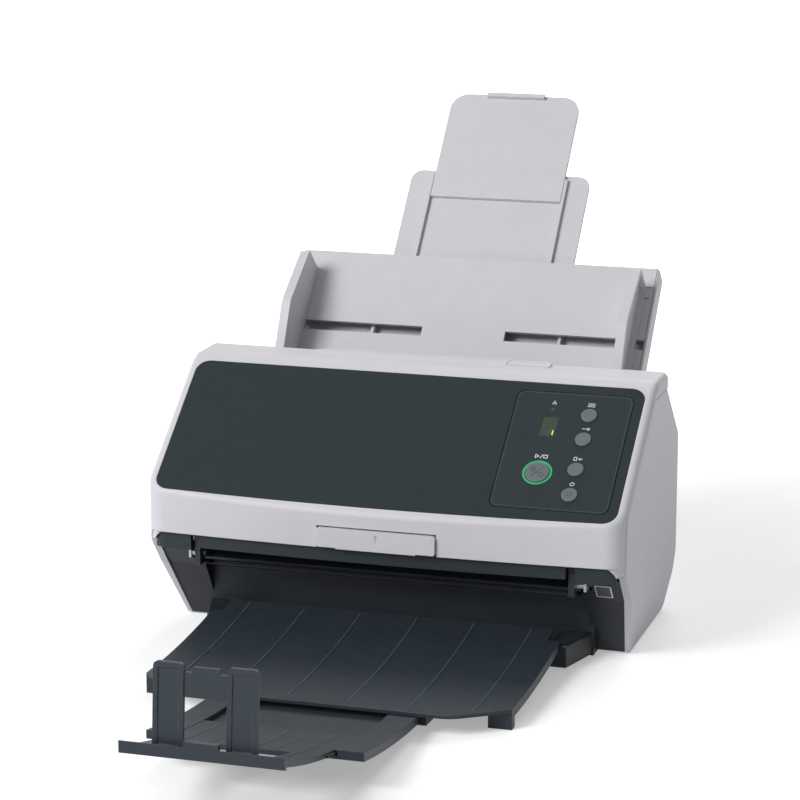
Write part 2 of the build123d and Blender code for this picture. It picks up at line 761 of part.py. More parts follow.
def optics_housing(upper=False):
    """Trough that carries the glass on its rim, with the sensor board and its lenses on its floor."""
    skin = PAPER_GAP + GLASS_THICK if upper else -GLASS_THICK
    sign = 1 if upper else -1
    deep = skin + sign * OPTICS_DEPTH
    floor = deep - sign * WALL
    half = OPTICS_HALF
    inner = half - 4
    start = OPTICS_T + OPTICS_WALL
    end = OPTICS_T + OPTICS_LENGTH - OPTICS_WALL
    shell = block(-half, half, OPTICS_T, OPTICS_T + OPTICS_LENGTH, *sorted((skin, deep)), PATH)
    shell -= block(-inner, inner, start, end, *sorted((skin - sign, floor)), PATH)
    board = floor - sign * BOARD_THICK
    shell += block(-inner + 1, inner - 1, start + 2, end - 2, *sorted((floor, board)), PATH)
    middle = (start + end) / 2
    lens = sorted((board, board - sign * 10))
    return shell + block(-inner + 2, inner - 2, middle - 2, middle + 2, *lens, PATH)


def jamb_y(z):
    """Front face of the jamb at a height under its knee."""
    return JAMB_FOOT_Y + (JAMB_KNEE_Y - JAMB_FOOT_Y) * (z - GROUND_GAP) / (KNEE_Z - GROUND_GAP)


def jamb_z(y):
    """Height at which the jamb's front face lies at the given y, under its knee."""
    return GROUND_GAP + (y - JAMB_FOOT_Y) / (JAMB_KNEE_Y - JAMB_FOOT_Y) * (KNEE_Z - GROUND_GAP)


def jamb():
    """Right jamb: a bent plate beside the exit and a cheek that joins it to the wall under the exit."""
    top = LINTEL_BOTTOM - SEAM
    near = JAMB_INNER - WALL
    face = outline([
        (JAMB_FOOT_Y, GROUND_GAP), (JAMB_KNEE_Y, KNEE_Z), (JAMB_TOP_Y, top), (JAMB_TOP_Y + JAMB_THICK, top),
        (JAMB_KNEE_Y + JAMB_THICK, KNEE_Z), (JAMB_FOOT_Y + JAMB_THICK, GROUND_GAP),
    ])
    solid = side_prism(face, near, HALF) & taper_solid(JAMB_EDGE + SEAM, JAMB_FOOT_EDGE + SEAM)
    back = EXIT_WALL_Y + EXIT_WALL_THICK
    cheek = outline([
        (EXIT_WALL_Y, GROUND_GAP), (JAMB_FOOT_Y + JAMB_THICK, GROUND_GAP), (back, jamb_z(back - JAMB_THICK)),
        (back, EXIT_WALL_TOP + 2), (JAMB_TOP_Y + 15, top), (JAMB_TOP_Y, top), (JAMB_KNEE_Y, KNEE_Z),
        (EXIT_WALL_Y, jamb_z(EXIT_WALL_Y)),
    ])
    solid += side_prism(cheek, near, JAMB_INNER)
    solid -= rod(*EXIT, BUSH_RADIUS + SEAM, near - 1, JAMB_INNER + 1)
    teeth = MODULE * (FEED_TEETH / 2 + TOOTH_TIP) + TEETH_CLEAR
    solid -= rod(*EXIT, teeth, GEAR_X - 1, GEAR_X + GEAR_WIDTH + 1)
    far = FRAME_X + FRAME_THICK + 1.5
    return solid - block(near - 1, far, SIDE_FRONT - 4, NOTCH_REAR, NOTCH_LOW, top + 1)


def front_frame():
    """Dark front frame: jambs beside the exit, wall under it, ears with the pins that carry the stacker."""
    shell = both_sides(jamb())
    end = on_frame(PATH, 0, -GUIDE_SKIN)
    back = EXIT_WALL_Y + EXIT_WALL_THICK
    wall = outline([
        (back, GROUND_GAP), (back, EXIT_WALL_TOP + 2), (end[0] + 2, end[1] - 0.6), (end[0], end[1] - 3.0),
        (EXIT_WALL_Y, EXIT_WALL_TOP), (EXIT_WALL_Y, GROUND_GAP),
    ])
    inner = JAMB_INNER - WALL / 2
    shell += side_prism(wall, -inner, inner)
    for side in (1, -1):
        rear = EXIT_WALL_Y + EXIT_WALL_THICK / 2
        ear = make_face(Polyline((side * EAR_INNER, EAR_FRONT), (side * EAR_OUTER, EAR_FRONT),
                                 (side * EAR_ROOT, rear), (side * EAR_INNER, rear), close=True))
        solid = Pos(0, 0, GROUND_GAP + 1) * extrude(ear, EAR_TOP - GROUND_GAP - 1)
        tops = solid.edges().filter_by(Axis.Z, reverse=True)
        tops = tops.filter_by(lambda e: e.center().Z > EAR_TOP - 0.1)
        solid = fillet(tops.filter_by(lambda e: e.center().Y < EXIT_WALL_Y - 1), 1.5)
        shell += solid
    for side in (1, -1):
        shell += rod(PIVOT_Y, PIVOT_Z, PIVOT_PIN, *sorted((side * (EAR_INNER - 9), side * (EAR_INNER + 1))))
        shell -= latch_pocket(side)
    return shell


def latch_pocket(side):
    """Notch in the wall's upper edge where the latch hook reaches its strike pin."""
    x0, x1 = sorted((side * (HOOK_X - 4), side * JAMB_INNER))
    return block(x0, x1, SIDE_FRONT - 4, NOTCH_REAR, STRIKE_Z - 7, LINTEL_BOTTOM + 1)


# Driven rollers
def roller_shaft(centre, x0, x1):
    return rod(*centre, SHAFT_RADIUS, x0, x1)


def tyres(centre, radius, tyre, core):
    ring = rod(*centre, radius, *tyre) - rod(*centre, core, tyre[0] - 1, tyre[1] + 1)
    edges = ring.edges().filter_by(GeomType.CIRCLE).filter_by(lambda e: e.radius > radius - 0.1)
    ring = chamfer(edges, 0.6)
    return Compound(children=[ring, mirror(ring, about=Plane.YZ)])


def shaft_end():
    return FRAME_X - 1.5 + BUSH_LENGTH + 0.5


def feed_phases():
    idler = 0.0
    feed = mesh_phase(IDLER, IDLER_TEETH, idler, FEED, FEED_TEETH)
    leave = mesh_phase(IDLER, IDLER_TEETH, idler, EXIT, FEED_TEETH)
    motor = mesh_phase(IDLER, IDLER_TEETH, idler, MOTOR, MOTOR_TEETH)
    return feed, leave, motor


def drive_gear(centre, teeth, bore, phase):
    return gear(centre, teeth, bore, GEAR_X, GEAR_X + GEAR_WIDTH, phase)


def motor_body(centre):
    """Can motor with its flange against the inner frame, bored for its shaft."""
    back = FRAME_X - 2 - MOTOR_LENGTH
    can = rod(*centre, MOTOR_RADIUS, back, FRAME_X - 2)
    rims = can.edges().filter_by(GeomType.CIRCLE)
    can = fillet(rims.filter_by(lambda e: e.center().X < back + 1), 2)
    y, z = centre
    flange = block(FRAME_X - 2, FRAME_X, y - MOTOR_RADIUS, y + MOTOR_RADIUS, z - 8, z + 8)
    return can + flange - rod(y, z, MOTOR_SHAFT + SHAFT_PLAY, FRAME_X - 20, FRAME_X + 1)


def motor_pinion(centre, phase):
    teeth = gear(centre, MOTOR_TEETH, MOTOR_SHAFT, GEAR_X, GEAR_X + GEAR_WIDTH, phase)
    return teeth + rod(*centre, MOTOR_SHAFT, FRAME_X - 19, GEAR_X + GEAR_WIDTH)


# Top cover
def cover_face():
    """Side view of the top cover's skin: front band, sloping panel, ledge and rim."""
    seam = SIDE_FRONT - SEAM
    low = SIDE_TOP + SEAM
    return outline([
        (BAND_FRONT - 10, BAND_BOTTOM), (BAND_FRONT - 10, panel_z(BAND_FRONT - 10)),
        (PANEL_TOP_Y, PANEL_TOP_Z, 8.0), (PANEL_TOP_Y + 8, LEDGE_TOP, 12.0), (LEDGE_REAR, LEDGE_TOP),
        (LEDGE_REAR, low), (panel_y(low, RIM_DEPTH), low), (seam, panel_z(seam, RIM_DEPTH)),
        (seam, SKIRT_BOTTOM), (seam - 5, BAND_BOTTOM),
    ])


def cover_hollow():
    """Side view of the space under the skin, open below."""
    ledge = LEDGE_TOP - WALL
    return outline([
        (BAND_FRONT - 12, SKIRT_BOTTOM - 5), (BAND_FRONT - 12, panel_z(BAND_FRONT - 12, WALL)),
        (PANEL_TOP_Y + 3, panel_z(PANEL_TOP_Y + 3, WALL)), (PANEL_TOP_Y + 8, ledge),
        (LEDGE_REAR - WALL, ledge), (LEDGE_REAR - WALL, SKIRT_BOTTOM - 5),
    ])


def panel_sketch(grow):
    """The opening for the dark panel, drawn in the panel's plane, its lower edge bowed."""
    half = PANEL_HALF
    edges = [
        Line((-half, 0), (half, 0)),
        Line((half, 0), (half, -PANEL_LENGTH)),
        ThreePointArc((half, -PANEL_LENGTH), (0, -PANEL_LENGTH - PANEL_BOW), (-half, -PANEL_LENGTH)),
        Line((-half, -PANEL_LENGTH), (-half, 0)),
    ]
    face = make_face(edges)
    face = fillet(face.vertices(), PANEL_CORNER)
    return offset(face, grow) if grow else face


def bezel_sketch(grow):
    width = BEZEL_RIGHT - BEZEL_LEFT
    height = BEZEL_END - BEZEL_START
    middle = Pos((BEZEL_RIGHT + BEZEL_LEFT) / 2, -(BEZEL_START + BEZEL_END) / 2)
    return middle * rounded(width + 2 * grow, height + 2 * grow, BEZEL_CORNER + grow)


def wave_solid():
    """Raised tongue behind the middle of the ledge that keeps sheets from riding over it."""
    reach = LEDGE_REAR + WAVE_REACH
    face = outline([(LEDGE_REAR - 22, LEDGE_TOP - 1), (LEDGE_REAR - 4, LEDGE_TOP + 1.0, 8.0),
                    (reach, LEDGE_TOP - 1.0), (reach, LEDGE_TOP - 3.5), (LEDGE_REAR - 1, LEDGE_TOP - 6),
                    (LEDGE_REAR - 22, LEDGE_TOP - 2)])
    solid = side_prism(face, -WAVE_HALF, WAVE_HALF)
    plan = make_face(Polyline((-WAVE_HALF, LEDGE_REAR - 30), (WAVE_HALF, LEDGE_REAR - 30),
                              (WAVE_HALF, LEDGE_REAR - 2), (WAVE_HALF - 6, reach), (6 - WAVE_HALF, reach),
                              (-WAVE_HALF, LEDGE_REAR - 2), close=True))
    plan = fillet(plan.vertices().filter_by(lambda v: v.Y > LEDGE_REAR + 1), 4)
    return solid & Pos(0, 0, LEDGE_TOP - 20) * extrude(plan, 40)


def cover_skin():
    skin = side_prism(cover_face(), -HALF, HALF) & plan_solid(0)
    rims = skin.edges().filter_by(lambda e: on_top_rim(e))
    return fillet(rims, EDGE_ROUND)


def on_top_rim(edge):
    """True for an edge of the skin's upper outline: where the panel, ledge and band turn to the sides."""
    middle = edge @ 0.5
    start = edge @ 0
    end = edge @ 1
    across = abs(start.X - end.X) > HALF
    if across:
        return abs(middle.Y - panel_y(middle.Z)) < 0.5 and middle.Y < SIDE_FRONT
    on_side = abs(middle.X) > HALF - FRONT_CORNER - 1
    high = middle.Z > panel_z(middle.Y) - 2.0 and middle.Z > panel_z(BAND_FRONT) - 1
    upright = abs(start.Y - end.Y) < 0.01 and abs(start.X - end.X) < 0.01
    return on_side and high and not upright


def mouth_corner():
    """Web that rounds the corner between the front band's lower edge and the side."""
    x = HALF - JAMB_EDGE
    centre = (x - MOUTH_ROUND, BAND_BOTTOM - MOUTH_ROUND)
    wall = HALF - WALL + 0.5
    face = make_face(Polyline((centre[0], BAND_BOTTOM + 3), (centre[0], SKIRT_BOTTOM), (wall, SKIRT_BOTTOM),
                              (wall, BAND_BOTTOM + 3), close=True)) - Pos(*centre) * Circle(MOUTH_ROUND)
    solid = extrude(Plane.XZ.offset(-SIDE_FRONT + SEAM).location * face, 6.5, dir=(0, -1, 0))
    return solid & plan_solid(1.0)


def top_cover_shell():
    """Light moulding: ledge, rim round the panel and the front band with the tab's cut-out."""
    shell = cover_skin() - (side_prism(cover_hollow(), -HALF, HALF) & plan_solid(WALL))
    shell -= plate(PANEL, panel_sketch(0), -WALL - 0.5, 2)
    shell += wave_solid() + both_sides(mouth_corner())
    gap = TAB_HALF + TAB_GAP
    return shell - block(-gap, gap, BAND_FRONT - 2, BAND_FRONT + 5, BAND_BOTTOM - 1, TAB_TOP + TAB_HEADROOM)


def front_panel():
    """Dark panel that fills the opening, held by a flange under the skin."""
    cut = SEAM * 0.6
    solid = plate(PANEL, panel_sketch(-cut), -PANEL_THICK, 0)
    flange = plate(PANEL, panel_sketch(1.6), -PANEL_THICK - PANEL_FLANGE, -PANEL_THICK)
    solid += flange & plan_solid(WALL + 0.2)
    solid -= plate(PANEL, bezel_sketch(BEZEL_GAP), -1.4, 1)
    return solid - plate(PANEL, bezel_sketch(-2.5), -PANEL_THICK - PANEL_FLANGE - 1, 1)


def operator_bezel():
    """Operator panel plate that lies in the front panel's recess, with holes for keys and display."""
    low = -PANEL_THICK - PANEL_FLANGE
    solid = plate(PANEL, bezel_sketch(0), -1.4, 0)
    solid += plate(PANEL, bezel_sketch(-2.8), low, -1.4)
    for down in BUTTON_DOWN.values():
        solid -= post(PANEL, BUTTON_X, -down, BUTTON_RADIUS + BUTTON_GAP, low - 1, 1)
    solid -= post(PANEL, SCAN_X, -SCAN_DOWN, SCAN_RADIUS + BUTTON_GAP + RING_WIDTH, low - 1, 1)
    solid -= post(PANEL, DISPLAY_X, -LAMP_DOWN, LAMP_RADIUS, low - 1, 1)
    solid -= plate(PANEL, display_sketch(), low - 1, 1)
    for x, down in board_bosses():
        solid += post(PANEL, x, -down, 2.2, -BOARD_DEPTH, low)
    return solid


def board_bosses():
    """Places of the bosses under the operator panel that the board is screwed to."""
    left = BEZEL_LEFT + 9
    middle = BEZEL_LEFT + 34.5
    low = BEZEL_END - 8
    return [(left, BEZEL_START + 8), (left, low), (middle, low), (middle, BEZEL_START + 6)]


def display_sketch():
    middle = Pos(DISPLAY_X, -(DISPLAY_START + DISPLAY_END) / 2)
    return middle * rounded(DISPLAY_WIDTH, DISPLAY_END - DISPLAY_START, 0.8)


def display_window():
    return plate(PANEL, display_sketch(), -PANEL_THICK - PANEL_FLANGE, -0.2)


def check_lamp():
    """Light pipe from the board to the lamp beside the display."""
    return post(PANEL, DISPLAY_X, -LAMP_DOWN, LAMP_RADIUS, -BOARD_DEPTH, 0.2)


def scan_light_ring():
    """Translucent ring round the scan key, pressed in the bezel."""
    outer = SCAN_RADIUS + BUTTON_GAP + RING_WIDTH
    low = -PANEL_THICK - PANEL_FLANGE
    return post(PANEL, SCAN_X, -SCAN_DOWN, outer, low, 0.3) - post(
        PANEL, SCAN_X, -SCAN_DOWN, SCAN_RADIUS + BUTTON_GAP, low - 1, 1)


def button(x, down, radius):
    """A key cap with the collar that holds it under the bezel and the stem that works the switch."""
    low = -PANEL_THICK - PANEL_FLANGE - SEAM / 2
    cap = post(PANEL, x, -down, radius, low - COLLAR_THICK, BUTTON_PROUD)
    rim = cap.edges().filter_by(GeomType.CIRCLE).sort_by(PANEL_AXIS)[-1]
    cap = fillet(rim, 0.6)
    cap += post(PANEL, x, -down, radius + COLLAR, low - COLLAR_THICK, low)
    stem = -BOARD_DEPTH + 2.0 + BUTTON_TRAVEL + SWITCH_GAP
    return cap + post(PANEL, x, -down, 1.5, stem, low - COLLAR_THICK)


PANEL_AXIS = Axis((0, PANEL_TOP_Y, PANEL_TOP_Z), tuple(PANEL.z_dir))


def button_places():
    places = {name: (BUTTON_X, down, BUTTON_RADIUS) for name, down in BUTTON_DOWN.items()}
    places["scan_stop"] = (SCAN_X, SCAN_DOWN, SCAN_RADIUS)
    return places


def panel_board():
    """Board under the operator panel with a soldered switch for each key."""
    low = -BOARD_DEPTH - BOARD_THICK
    high = -BOARD_DEPTH
    board = block(BEZEL_LEFT + 6, BEZEL_RIGHT - 18, -BEZEL_END + 3, -BEZEL_START - 3, low, high, PANEL)
    half = SWITCH_SIZE / 2
    for x, down, radius in button_places().values():
        board += block(x - half, x + half, -down - half, -down + half, high, high + 1.5, PANEL)
        board += post(PANEL, x, -down, 1.6, high, high + 2.0)
    return board


def throat_points(out):
    """Side view of the chassis wall over the sheets' throat, drawn from the path up to the ledge."""
    start = on_frame(PATH, PICK_T + 3, PAPER_GAP + out)
    return [start, (start[0] + 6.5, start[1] + 24), (LEDGE_REAR + 9.5, LEDGE_TOP - 5.0)]


def upper_chassis():
    """Dark frame of the top cover: paper guide, side walls with the hinge eyes, lintel over the exit."""
    gap = PAPER_GAP
    rise = throat_points(0)
    back = [(rise[2][0] - 2.4, rise[2][1]), (rise[1][0] - 2.4, rise[1][1])]
    guide = outline([
        on_frame(PATH, 9, gap), rise[0], rise[1], rise[2], back[0], back[1],
        on_frame(PATH, PICK_T, gap + GUIDE_SKIN), on_frame(PATH, 9, gap + GUIDE_SKIN),
    ])
    solid = side_prism(guide, -CHASSIS_X, CHASSIS_X)
    under = -PANEL_THICK
    cheek = outline([
        on_frame(PATH, 9, gap), rise[0], (rise[1][0], rise[1][1]), (LEDGE_REAR + 7, HINGE_Z),
        (LEDGE_REAR + 6, HINGE_Z + 5), (LEDGE_REAR - WALL, HINGE_Z + 9),
        (LEDGE_REAR - WALL, LEDGE_TOP - WALL), (PANEL_TOP_Y + 9, LEDGE_TOP - WALL),
        on_frame(PANEL, -2, under - PANEL_FLANGE), on_frame(PANEL, -PANEL_LENGTH + 4, under - PANEL_FLANGE),
        (BAND_FRONT + 8, LINTEL_MIDDLE), (SIDE_FRONT - 2, LINTEL_MIDDLE),
    ])
    wall = side_prism(cheek, CHASSIS_X, CHASSIS_X + CHASSIS_WALL)
    eye = rod(HINGE_Y, HINGE_Z, HINGE_PIN + 4, CHASSIS_X, CHASSIS_X + CHASSIS_WALL)
    solid += both_sides(wall + eye)
    solid += lintel()
    deep = -BOARD_DEPTH - BOARD_THICK - 1
    solid -= block(BEZEL_LEFT, BEZEL_RIGHT, -BEZEL_END - 1, -BEZEL_START + 1, deep, 0, PANEL)
    for y, z, radius in ((*BRAKE, SHAFT_RADIUS), (*FEED_IDLER, LATCH_SHAFT), (*EXIT_IDLER, LATCH_SHAFT),
                         (LATCH_Y, LATCH_Z, LATCH_SHAFT), (HINGE_Y, HINGE_Z, HINGE_PIN)):
        solid -= rod(y, z, radius + SHAFT_PLAY, -CHASSIS_X - 5, CHASSIS_X + 5)
    for centre, radius, tyre in ((BRAKE, BRAKE_RADIUS, PICK_TYRE), (FEED_IDLER, IDLER_RADIUS, FEED_TYRE),
                                 (EXIT_IDLER, EXIT_IDLER_RADIUS, FEED_TYRE), (PICK, PICK_RADIUS, PICK_TYRE)):
        solid -= both_sides(rod(*centre, radius + WINDOW_PLAY, tyre[0] - 1, tyre[1] + 1))
    start = OPTICS_T + OPTICS_WALL - GLASS_SEAT - SEAM / 2
    end = OPTICS_T + OPTICS_LENGTH - OPTICS_WALL + GLASS_SEAT + SEAM / 2
    solid -= block(-OPTICS_HALF + 1, OPTICS_HALF - 1, start, end, gap - 1, gap + GUIDE_SKIN, PATH)
    return solid


def lintel():
    """Dark strip under the front band: floor, front lip inside the band, and the tab's lugs."""
    inside = plan_solid(LINTEL_BACK)
    reach = HALF - JAMB_EDGE - SEAM
    rear = SIDE_FRONT - LINTEL_REAR
    front = block(-reach, reach, BAND_FRONT - 2, rear, LINTEL_BOTTOM, BAND_BOTTOM + 5)
    solid = (front & inside) - plan_solid(LINTEL_BACK + GUIDE_SKIN)
    floor = block(-reach, reach, BAND_FRONT - 2, rear, LINTEL_BOTTOM, LINTEL_MIDDLE + GUIDE_SKIN)
    solid += floor & inside
    solid -= both_sides(lintel_corner())
    middle = HOOK_X - HOOK_CLEAR
    solid -= block(-middle, middle, BAND_FRONT - 2, SIDE_FRONT + 2, LINTEL_BOTTOM - 1, LINTEL_MIDDLE)
    start = SIDE_FRONT - 3
    solid += side_prism(outline([(start, LINTEL_MIDDLE), on_frame(PATH, 9, PAPER_GAP),
                                 on_frame(PATH, 9, PAPER_GAP + GUIDE_SKIN),
                                 (start, LINTEL_MIDDLE + GUIDE_SKIN)]), -CHASSIS_X, CHASSIS_X)
    far = HOOK_X + HOOK_WIDTH + HOOK_CLEAR
    slot = block(middle, far, BAND_FRONT, SIDE_FRONT + 2, LINTEL_BOTTOM - 1, BRIDGE_LOW)
    slot += block(middle, far, BRIDGE_BACK, SIDE_FRONT + 2, LINTEL_BOTTOM, BAND_BOTTOM + 6)
    solid -= both_sides(slot)
    solid -= block(-TAB_HALF - 1, TAB_HALF + 1, BAND_FRONT - 2, BAND_FRONT + 6, TAB_LOW - 1.5, TAB_TOP + 5)
    y, z = tab_pivot()
    for x in (-TAB_HALF + 6, TAB_HALF - 6):
        lug = block(x - 1.5, x + 1.5, y - 1.4, BAND_FRONT + 12, z - 2.0, z + 1.8)
        lug += block(x - 1.5, x + 1.5, BAND_FRONT + 8, BAND_FRONT + 12, LINTEL_MIDDLE + 1, z)
        solid += lug - rod(y, z, TAB_PIN + SHAFT_PLAY, x - 3, x + 3)
    return solid


def lintel_corner():
    """What the lintel leaves to the light web that rounds the corner of the front band."""
    x = HALF - JAMB_EDGE - MOUTH_ROUND
    z = BAND_BOTTOM - MOUTH_ROUND
    face = make_face(Polyline((x, BAND_BOTTOM + 6), (x, z), (HALF, z), (HALF, BAND_BOTTOM + 6), close=True))
    face -= Pos(x, z) * Circle(MOUTH_ROUND - SEAM)
    start = Plane.XZ.offset(-SIDE_FRONT - 2)
    return extrude(start.location * face, SIDE_FRONT - BAND_FRONT + 4, dir=(0, -1, 0))


def brake_roller():
    return roller_shaft(BRAKE, -CHASSIS_X - CHASSIS_WALL, CHASSIS_X + CHASSIS_WALL)


def idlers(centre, radius):
    """Shaft between the chassis walls with a tyre over each one of the driven roller below."""
    shaft = rod(*centre, LATCH_SHAFT, -CHASSIS_X - CHASSIS_WALL, CHASSIS_X + CHASSIS_WALL)
    return shaft + tyres(centre, radius, FEED_TYRE, LATCH_SHAFT)


def release_tab():
    """Tab in the band's lower edge: a slightly bowed plate with a finger lip, hung on two pin stubs."""
    front = BAND_FRONT - TAB_PROUD
    body = block(-TAB_HALF, TAB_HALF, front, front + TAB_THICK, TAB_LOW, TAB_TOP)
    body = fillet(body.edges().filter_by(Axis.Y), 1.5)
    body += block(-TAB_HALF + 12, TAB_HALF - 12, front, front + TAB_THICK, TAB_LOW - 0.6, TAB_LOW + 1)
    y, z = tab_pivot()
    for x in (-TAB_HALF + 12, TAB_HALF - 12):
        body += block(x - 1.5, x + 1.5, front + 1, y + 1.4, z - 1.4, z + 1.4)
        body += rod(y, z, TAB_PIN, x - 8, x + 8)
    return body


def tab_pivot():
    return BAND_FRONT + 3.2, TAB_TOP - 1.4


def latch_bar():
    """Latch shaft with a hook at each end that reaches down to the strike pin."""
    tip = STRIKE_Z - STRIKE_RADIUS - 0.4
    near = STRIKE_Y - STRIKE_RADIUS - 0.4
    shape = outline([
        (LATCH_Y - 3.5, LATCH_Z + 3.5, 3.0), (LATCH_Y + 3.5, LATCH_Z + 3.5, 3.0),
        (LATCH_Y + 3.5, LATCH_Z - 8), (near, STRIKE_Z + 4), (near, tip), (STRIKE_Y + 0.6, tip),
        (STRIKE_Y - 1.5, tip - 3.5),
        (LATCH_Y - 1.5, tip - 3.5, 1.5), (LATCH_Y - 1.5, LATCH_Z - 12),
    ])
    end = HOOK_X + HOOK_WIDTH
    return rod(LATCH_Y, LATCH_Z, LATCH_SHAFT, -end, end) + both_sides(side_prism(shape, HOOK_X, end))


# Chute, side guides and extensions
def chute_depths():
    """Out positions under the chute's surface: arm floor, extension B, extension A and back cover."""
    arm = -ARM_DEPTH - ARM_THICK
    second = arm - 3 * EXT_GAP
    first = second - EXT_PLATE - EXT_GAP
    back = first - EXT_PLATE - EXT_GAP
    return arm, second, first, back


def chute_body():
    """Front moulding of the chute: skin with the guides' slots, side walls and the pinion's stud."""
    face = Pos(0, (CHUTE_LOW + CHUTE_HIGH) / 2) * Rectangle(2 * CHUTE_HALF, CHUTE_HIGH - CHUTE_LOW)
    face = fillet(face.vertices().filter_by(lambda v: v.Y > 0), CHUTE_CORNER)
    solid = plate(CHUTE, face, -CHUTE_THICK, 0)
    top = solid.faces().sort_by(CHUTE_AXIS)[-1]
    rims = top.edges().filter_by(lambda e: (e @ 0.5).Z > CHUTE_Z - 15)
    solid = fillet(rims, 1.2)
    wall = CHUTE_SKIN
    hollow = block(-CHUTE_HALF + wall, CHUTE_HALF - wall, CHUTE_LOW + wall, CHUTE_HIGH - wall,
                   -CHUTE_THICK - 1, -wall, CHUTE)
    solid -= hollow
    arm = chute_depths()[0]
    gate = EXT_A_HALF + 2 * EXT_GAP
    solid -= block(-gate, gate, CHUTE_HIGH - 2 * wall, CHUTE_HIGH + 1, -CHUTE_THICK - 1, arm, CHUTE)
    for side in (1, -1):
        near = GUIDE_INNER - GUIDE_TRAVEL - 1
        far = CHUTE_HALF - wall
        x0, x1 = sorted((side * near, side * far))
        half = STEM_HALF + EXT_GAP
        solid -= block(x0, x1, PINION_S - half, PINION_S + half, -wall - 1, 1, CHUTE)
    solid += post(CHUTE, 0, PINION_S, 2.0, arm, -wall)
    return solid - chute_marks()


CHUTE_AXIS = Axis((0, CHUTE_Y, CHUTE_Z), tuple(CHUTE.z_dir))


def chute_marks():
    """Seam along each side of the chute's face and two short slots at its right edge."""
    x = CHUTE_HALF - SEAM_INSET
    low = -SEAM_DEPTH
    seam = block(x - SEAM, x, CHUTE_LOW - 1, CHUTE_HIGH + 1, low, 1, CHUTE)
    slots = block(x - 6.4, x - 0.2, 61.2, 62.5, low, 1, CHUTE)
    slots += block(x - 6.4, x - 2.4, 53.2, 54.2, low, 1, CHUTE)
    return both_sides(seam) + slots


def chute_back_cover():
    """Back of the chute with the extension's rails and two legs that stand on the rear deck."""
    arm, _, _, back = chute_depths()
    edge = CHUTE_SKIN + EXT_GAP
    face = Pos(0, (CHUTE_LOW + CHUTE_HIGH) / 2) * Rectangle(
        2 * (CHUTE_HALF - edge), CHUTE_HIGH - CHUTE_LOW - 2 * edge)
    solid = plate(CHUTE, face, -CHUTE_THICK, back)
    rail = EXT_A_HALF + EXT_GAP
    for side in (1, -1):
        x0, x1 = sorted((side * rail, side * (rail + 2)))
        solid += block(x0, x1, CHUTE_LOW + 6, CHUTE_HIGH - 2 * edge, back, arm - EXT_GAP, CHUTE)
    inside = CHUTE_SKIN / 4 - CHUTE_THICK
    front = RISER_Y + WALL + LEG_CLEAR
    low = CHUTE_LOW + CHUTE_SKIN + 3
    leg = outline([on_frame(CHUTE, low + LEG_REACH, inside), on_frame(CHUTE, low, inside),
                   (front, deck_z(front)), (front + LEG_DEPTH, deck_z(front + LEG_DEPTH))])
    start = CHUTE_HALF - LEG_INSET
    return solid + both_sides(side_prism(leg, start, start + LEG_WIDTH))


def guide_face(inset):
    """Side view of a side guide, or of the recess the given inset inside its rim."""
    points = [(GUIDE_PROFILE[0][0] + inset, GUIDE_LIFT + inset)]
    points += [(GUIDE_PROFILE[0][0] + inset, GUIDE_PROFILE[0][1] - inset, 2.0)]
    points += [(GUIDE_PROFILE[1][0], GUIDE_PROFILE[1][1] - inset, 12.0)]
    points += [(GUIDE_PROFILE[2][0] - inset, GUIDE_PROFILE[2][1] - inset, 3.0)]
    points += [(GUIDE_PROFILE[2][0] - inset, GUIDE_LIFT + inset)]
    return outline(points)


def side_guide(side):
    """A side guide: web with a rim round it, a stem through the slot and the rack behind the skin."""
    upright = Plane(origin=CHUTE.origin, x_dir=CHUTE.y_dir, z_dir=(1, 0, 0))
    near = GUIDE_INNER
    far = GUIDE_INNER + GUIDE_RIM
    web = extrude(upright.offset(near).location * guide_face(0), GUIDE_RIM, dir=(1, 0, 0))
    recess = upright.offset(near + GUIDE_WEB).location * guide_face(GUIDE_WEB)
    web -= extrude(recess, GUIDE_RIM, dir=(1, 0, 0))
    stem = block(near, far - 1, PINION_S - STEM_HALF, PINION_S + STEM_HALF, -ARM_DEPTH - ARM_THICK,
                 GUIDE_LIFT, CHUTE)
    solid = web + stem
    if side < 0:
        solid = mirror(solid, about=Plane.YZ)
    return solid + rack(side)


def rack(side):
    """Rack behind the chute's skin, its teeth towards the pinion."""
    pitch = MODULE * RACK_TEETH / 2
    step = pi * MODULE
    tip = pitch - MODULE * TOOTH_TIP
    root = pitch + MODULE * TOOTH_ROOT
    back = root + 3.5
    slope = tan(radians(PRESSURE_ANGLE))
    half = step / 4 - BACKLASH / 4
    count = int((GUIDE_TRAVEL + 8) / step)
    points = [(2.4 * step, back), (2.4 * step, root)]
    for index in range(2, -count, -1):
        middle = (index - 0.5) * step
        foot = half + slope * (root - pitch)
        crest = half - slope * (pitch - tip)
        points += [(middle + foot, root), (middle + crest, tip)]
        points += [(middle - crest, tip), (middle - foot, root)]
    points += [(-GUIDE_INNER - GUIDE_RIM + 1, root), (-GUIDE_INNER - GUIDE_RIM + 1, back)]
    bar = make_face(Polyline(*points, close=True))
    far = GUIDE_INNER + GUIDE_RIM - 1
    middle = Pos(-(far + GUIDE_INNER) / 2, (back - STEM_HALF) / 2)
    foot = middle * Rectangle(far - GUIDE_INNER, back + STEM_HALF)
    face = Pos(0, PINION_S) * Rot(0, 0, 0 if side < 0 else 180) * (bar + foot)
    return plate(CHUTE, face, -ARM_DEPTH - ARM_THICK, -ARM_DEPTH)


def guide_pinion():
    face = Pos(0, PINION_S) * (gear_face(RACK_TEETH, pi / 2) - Circle(2.0 + SHAFT_PLAY))
    return plate(CHUTE, face, -ARM_DEPTH - ARM_THICK + 0.1, -ARM_DEPTH + 0.1)


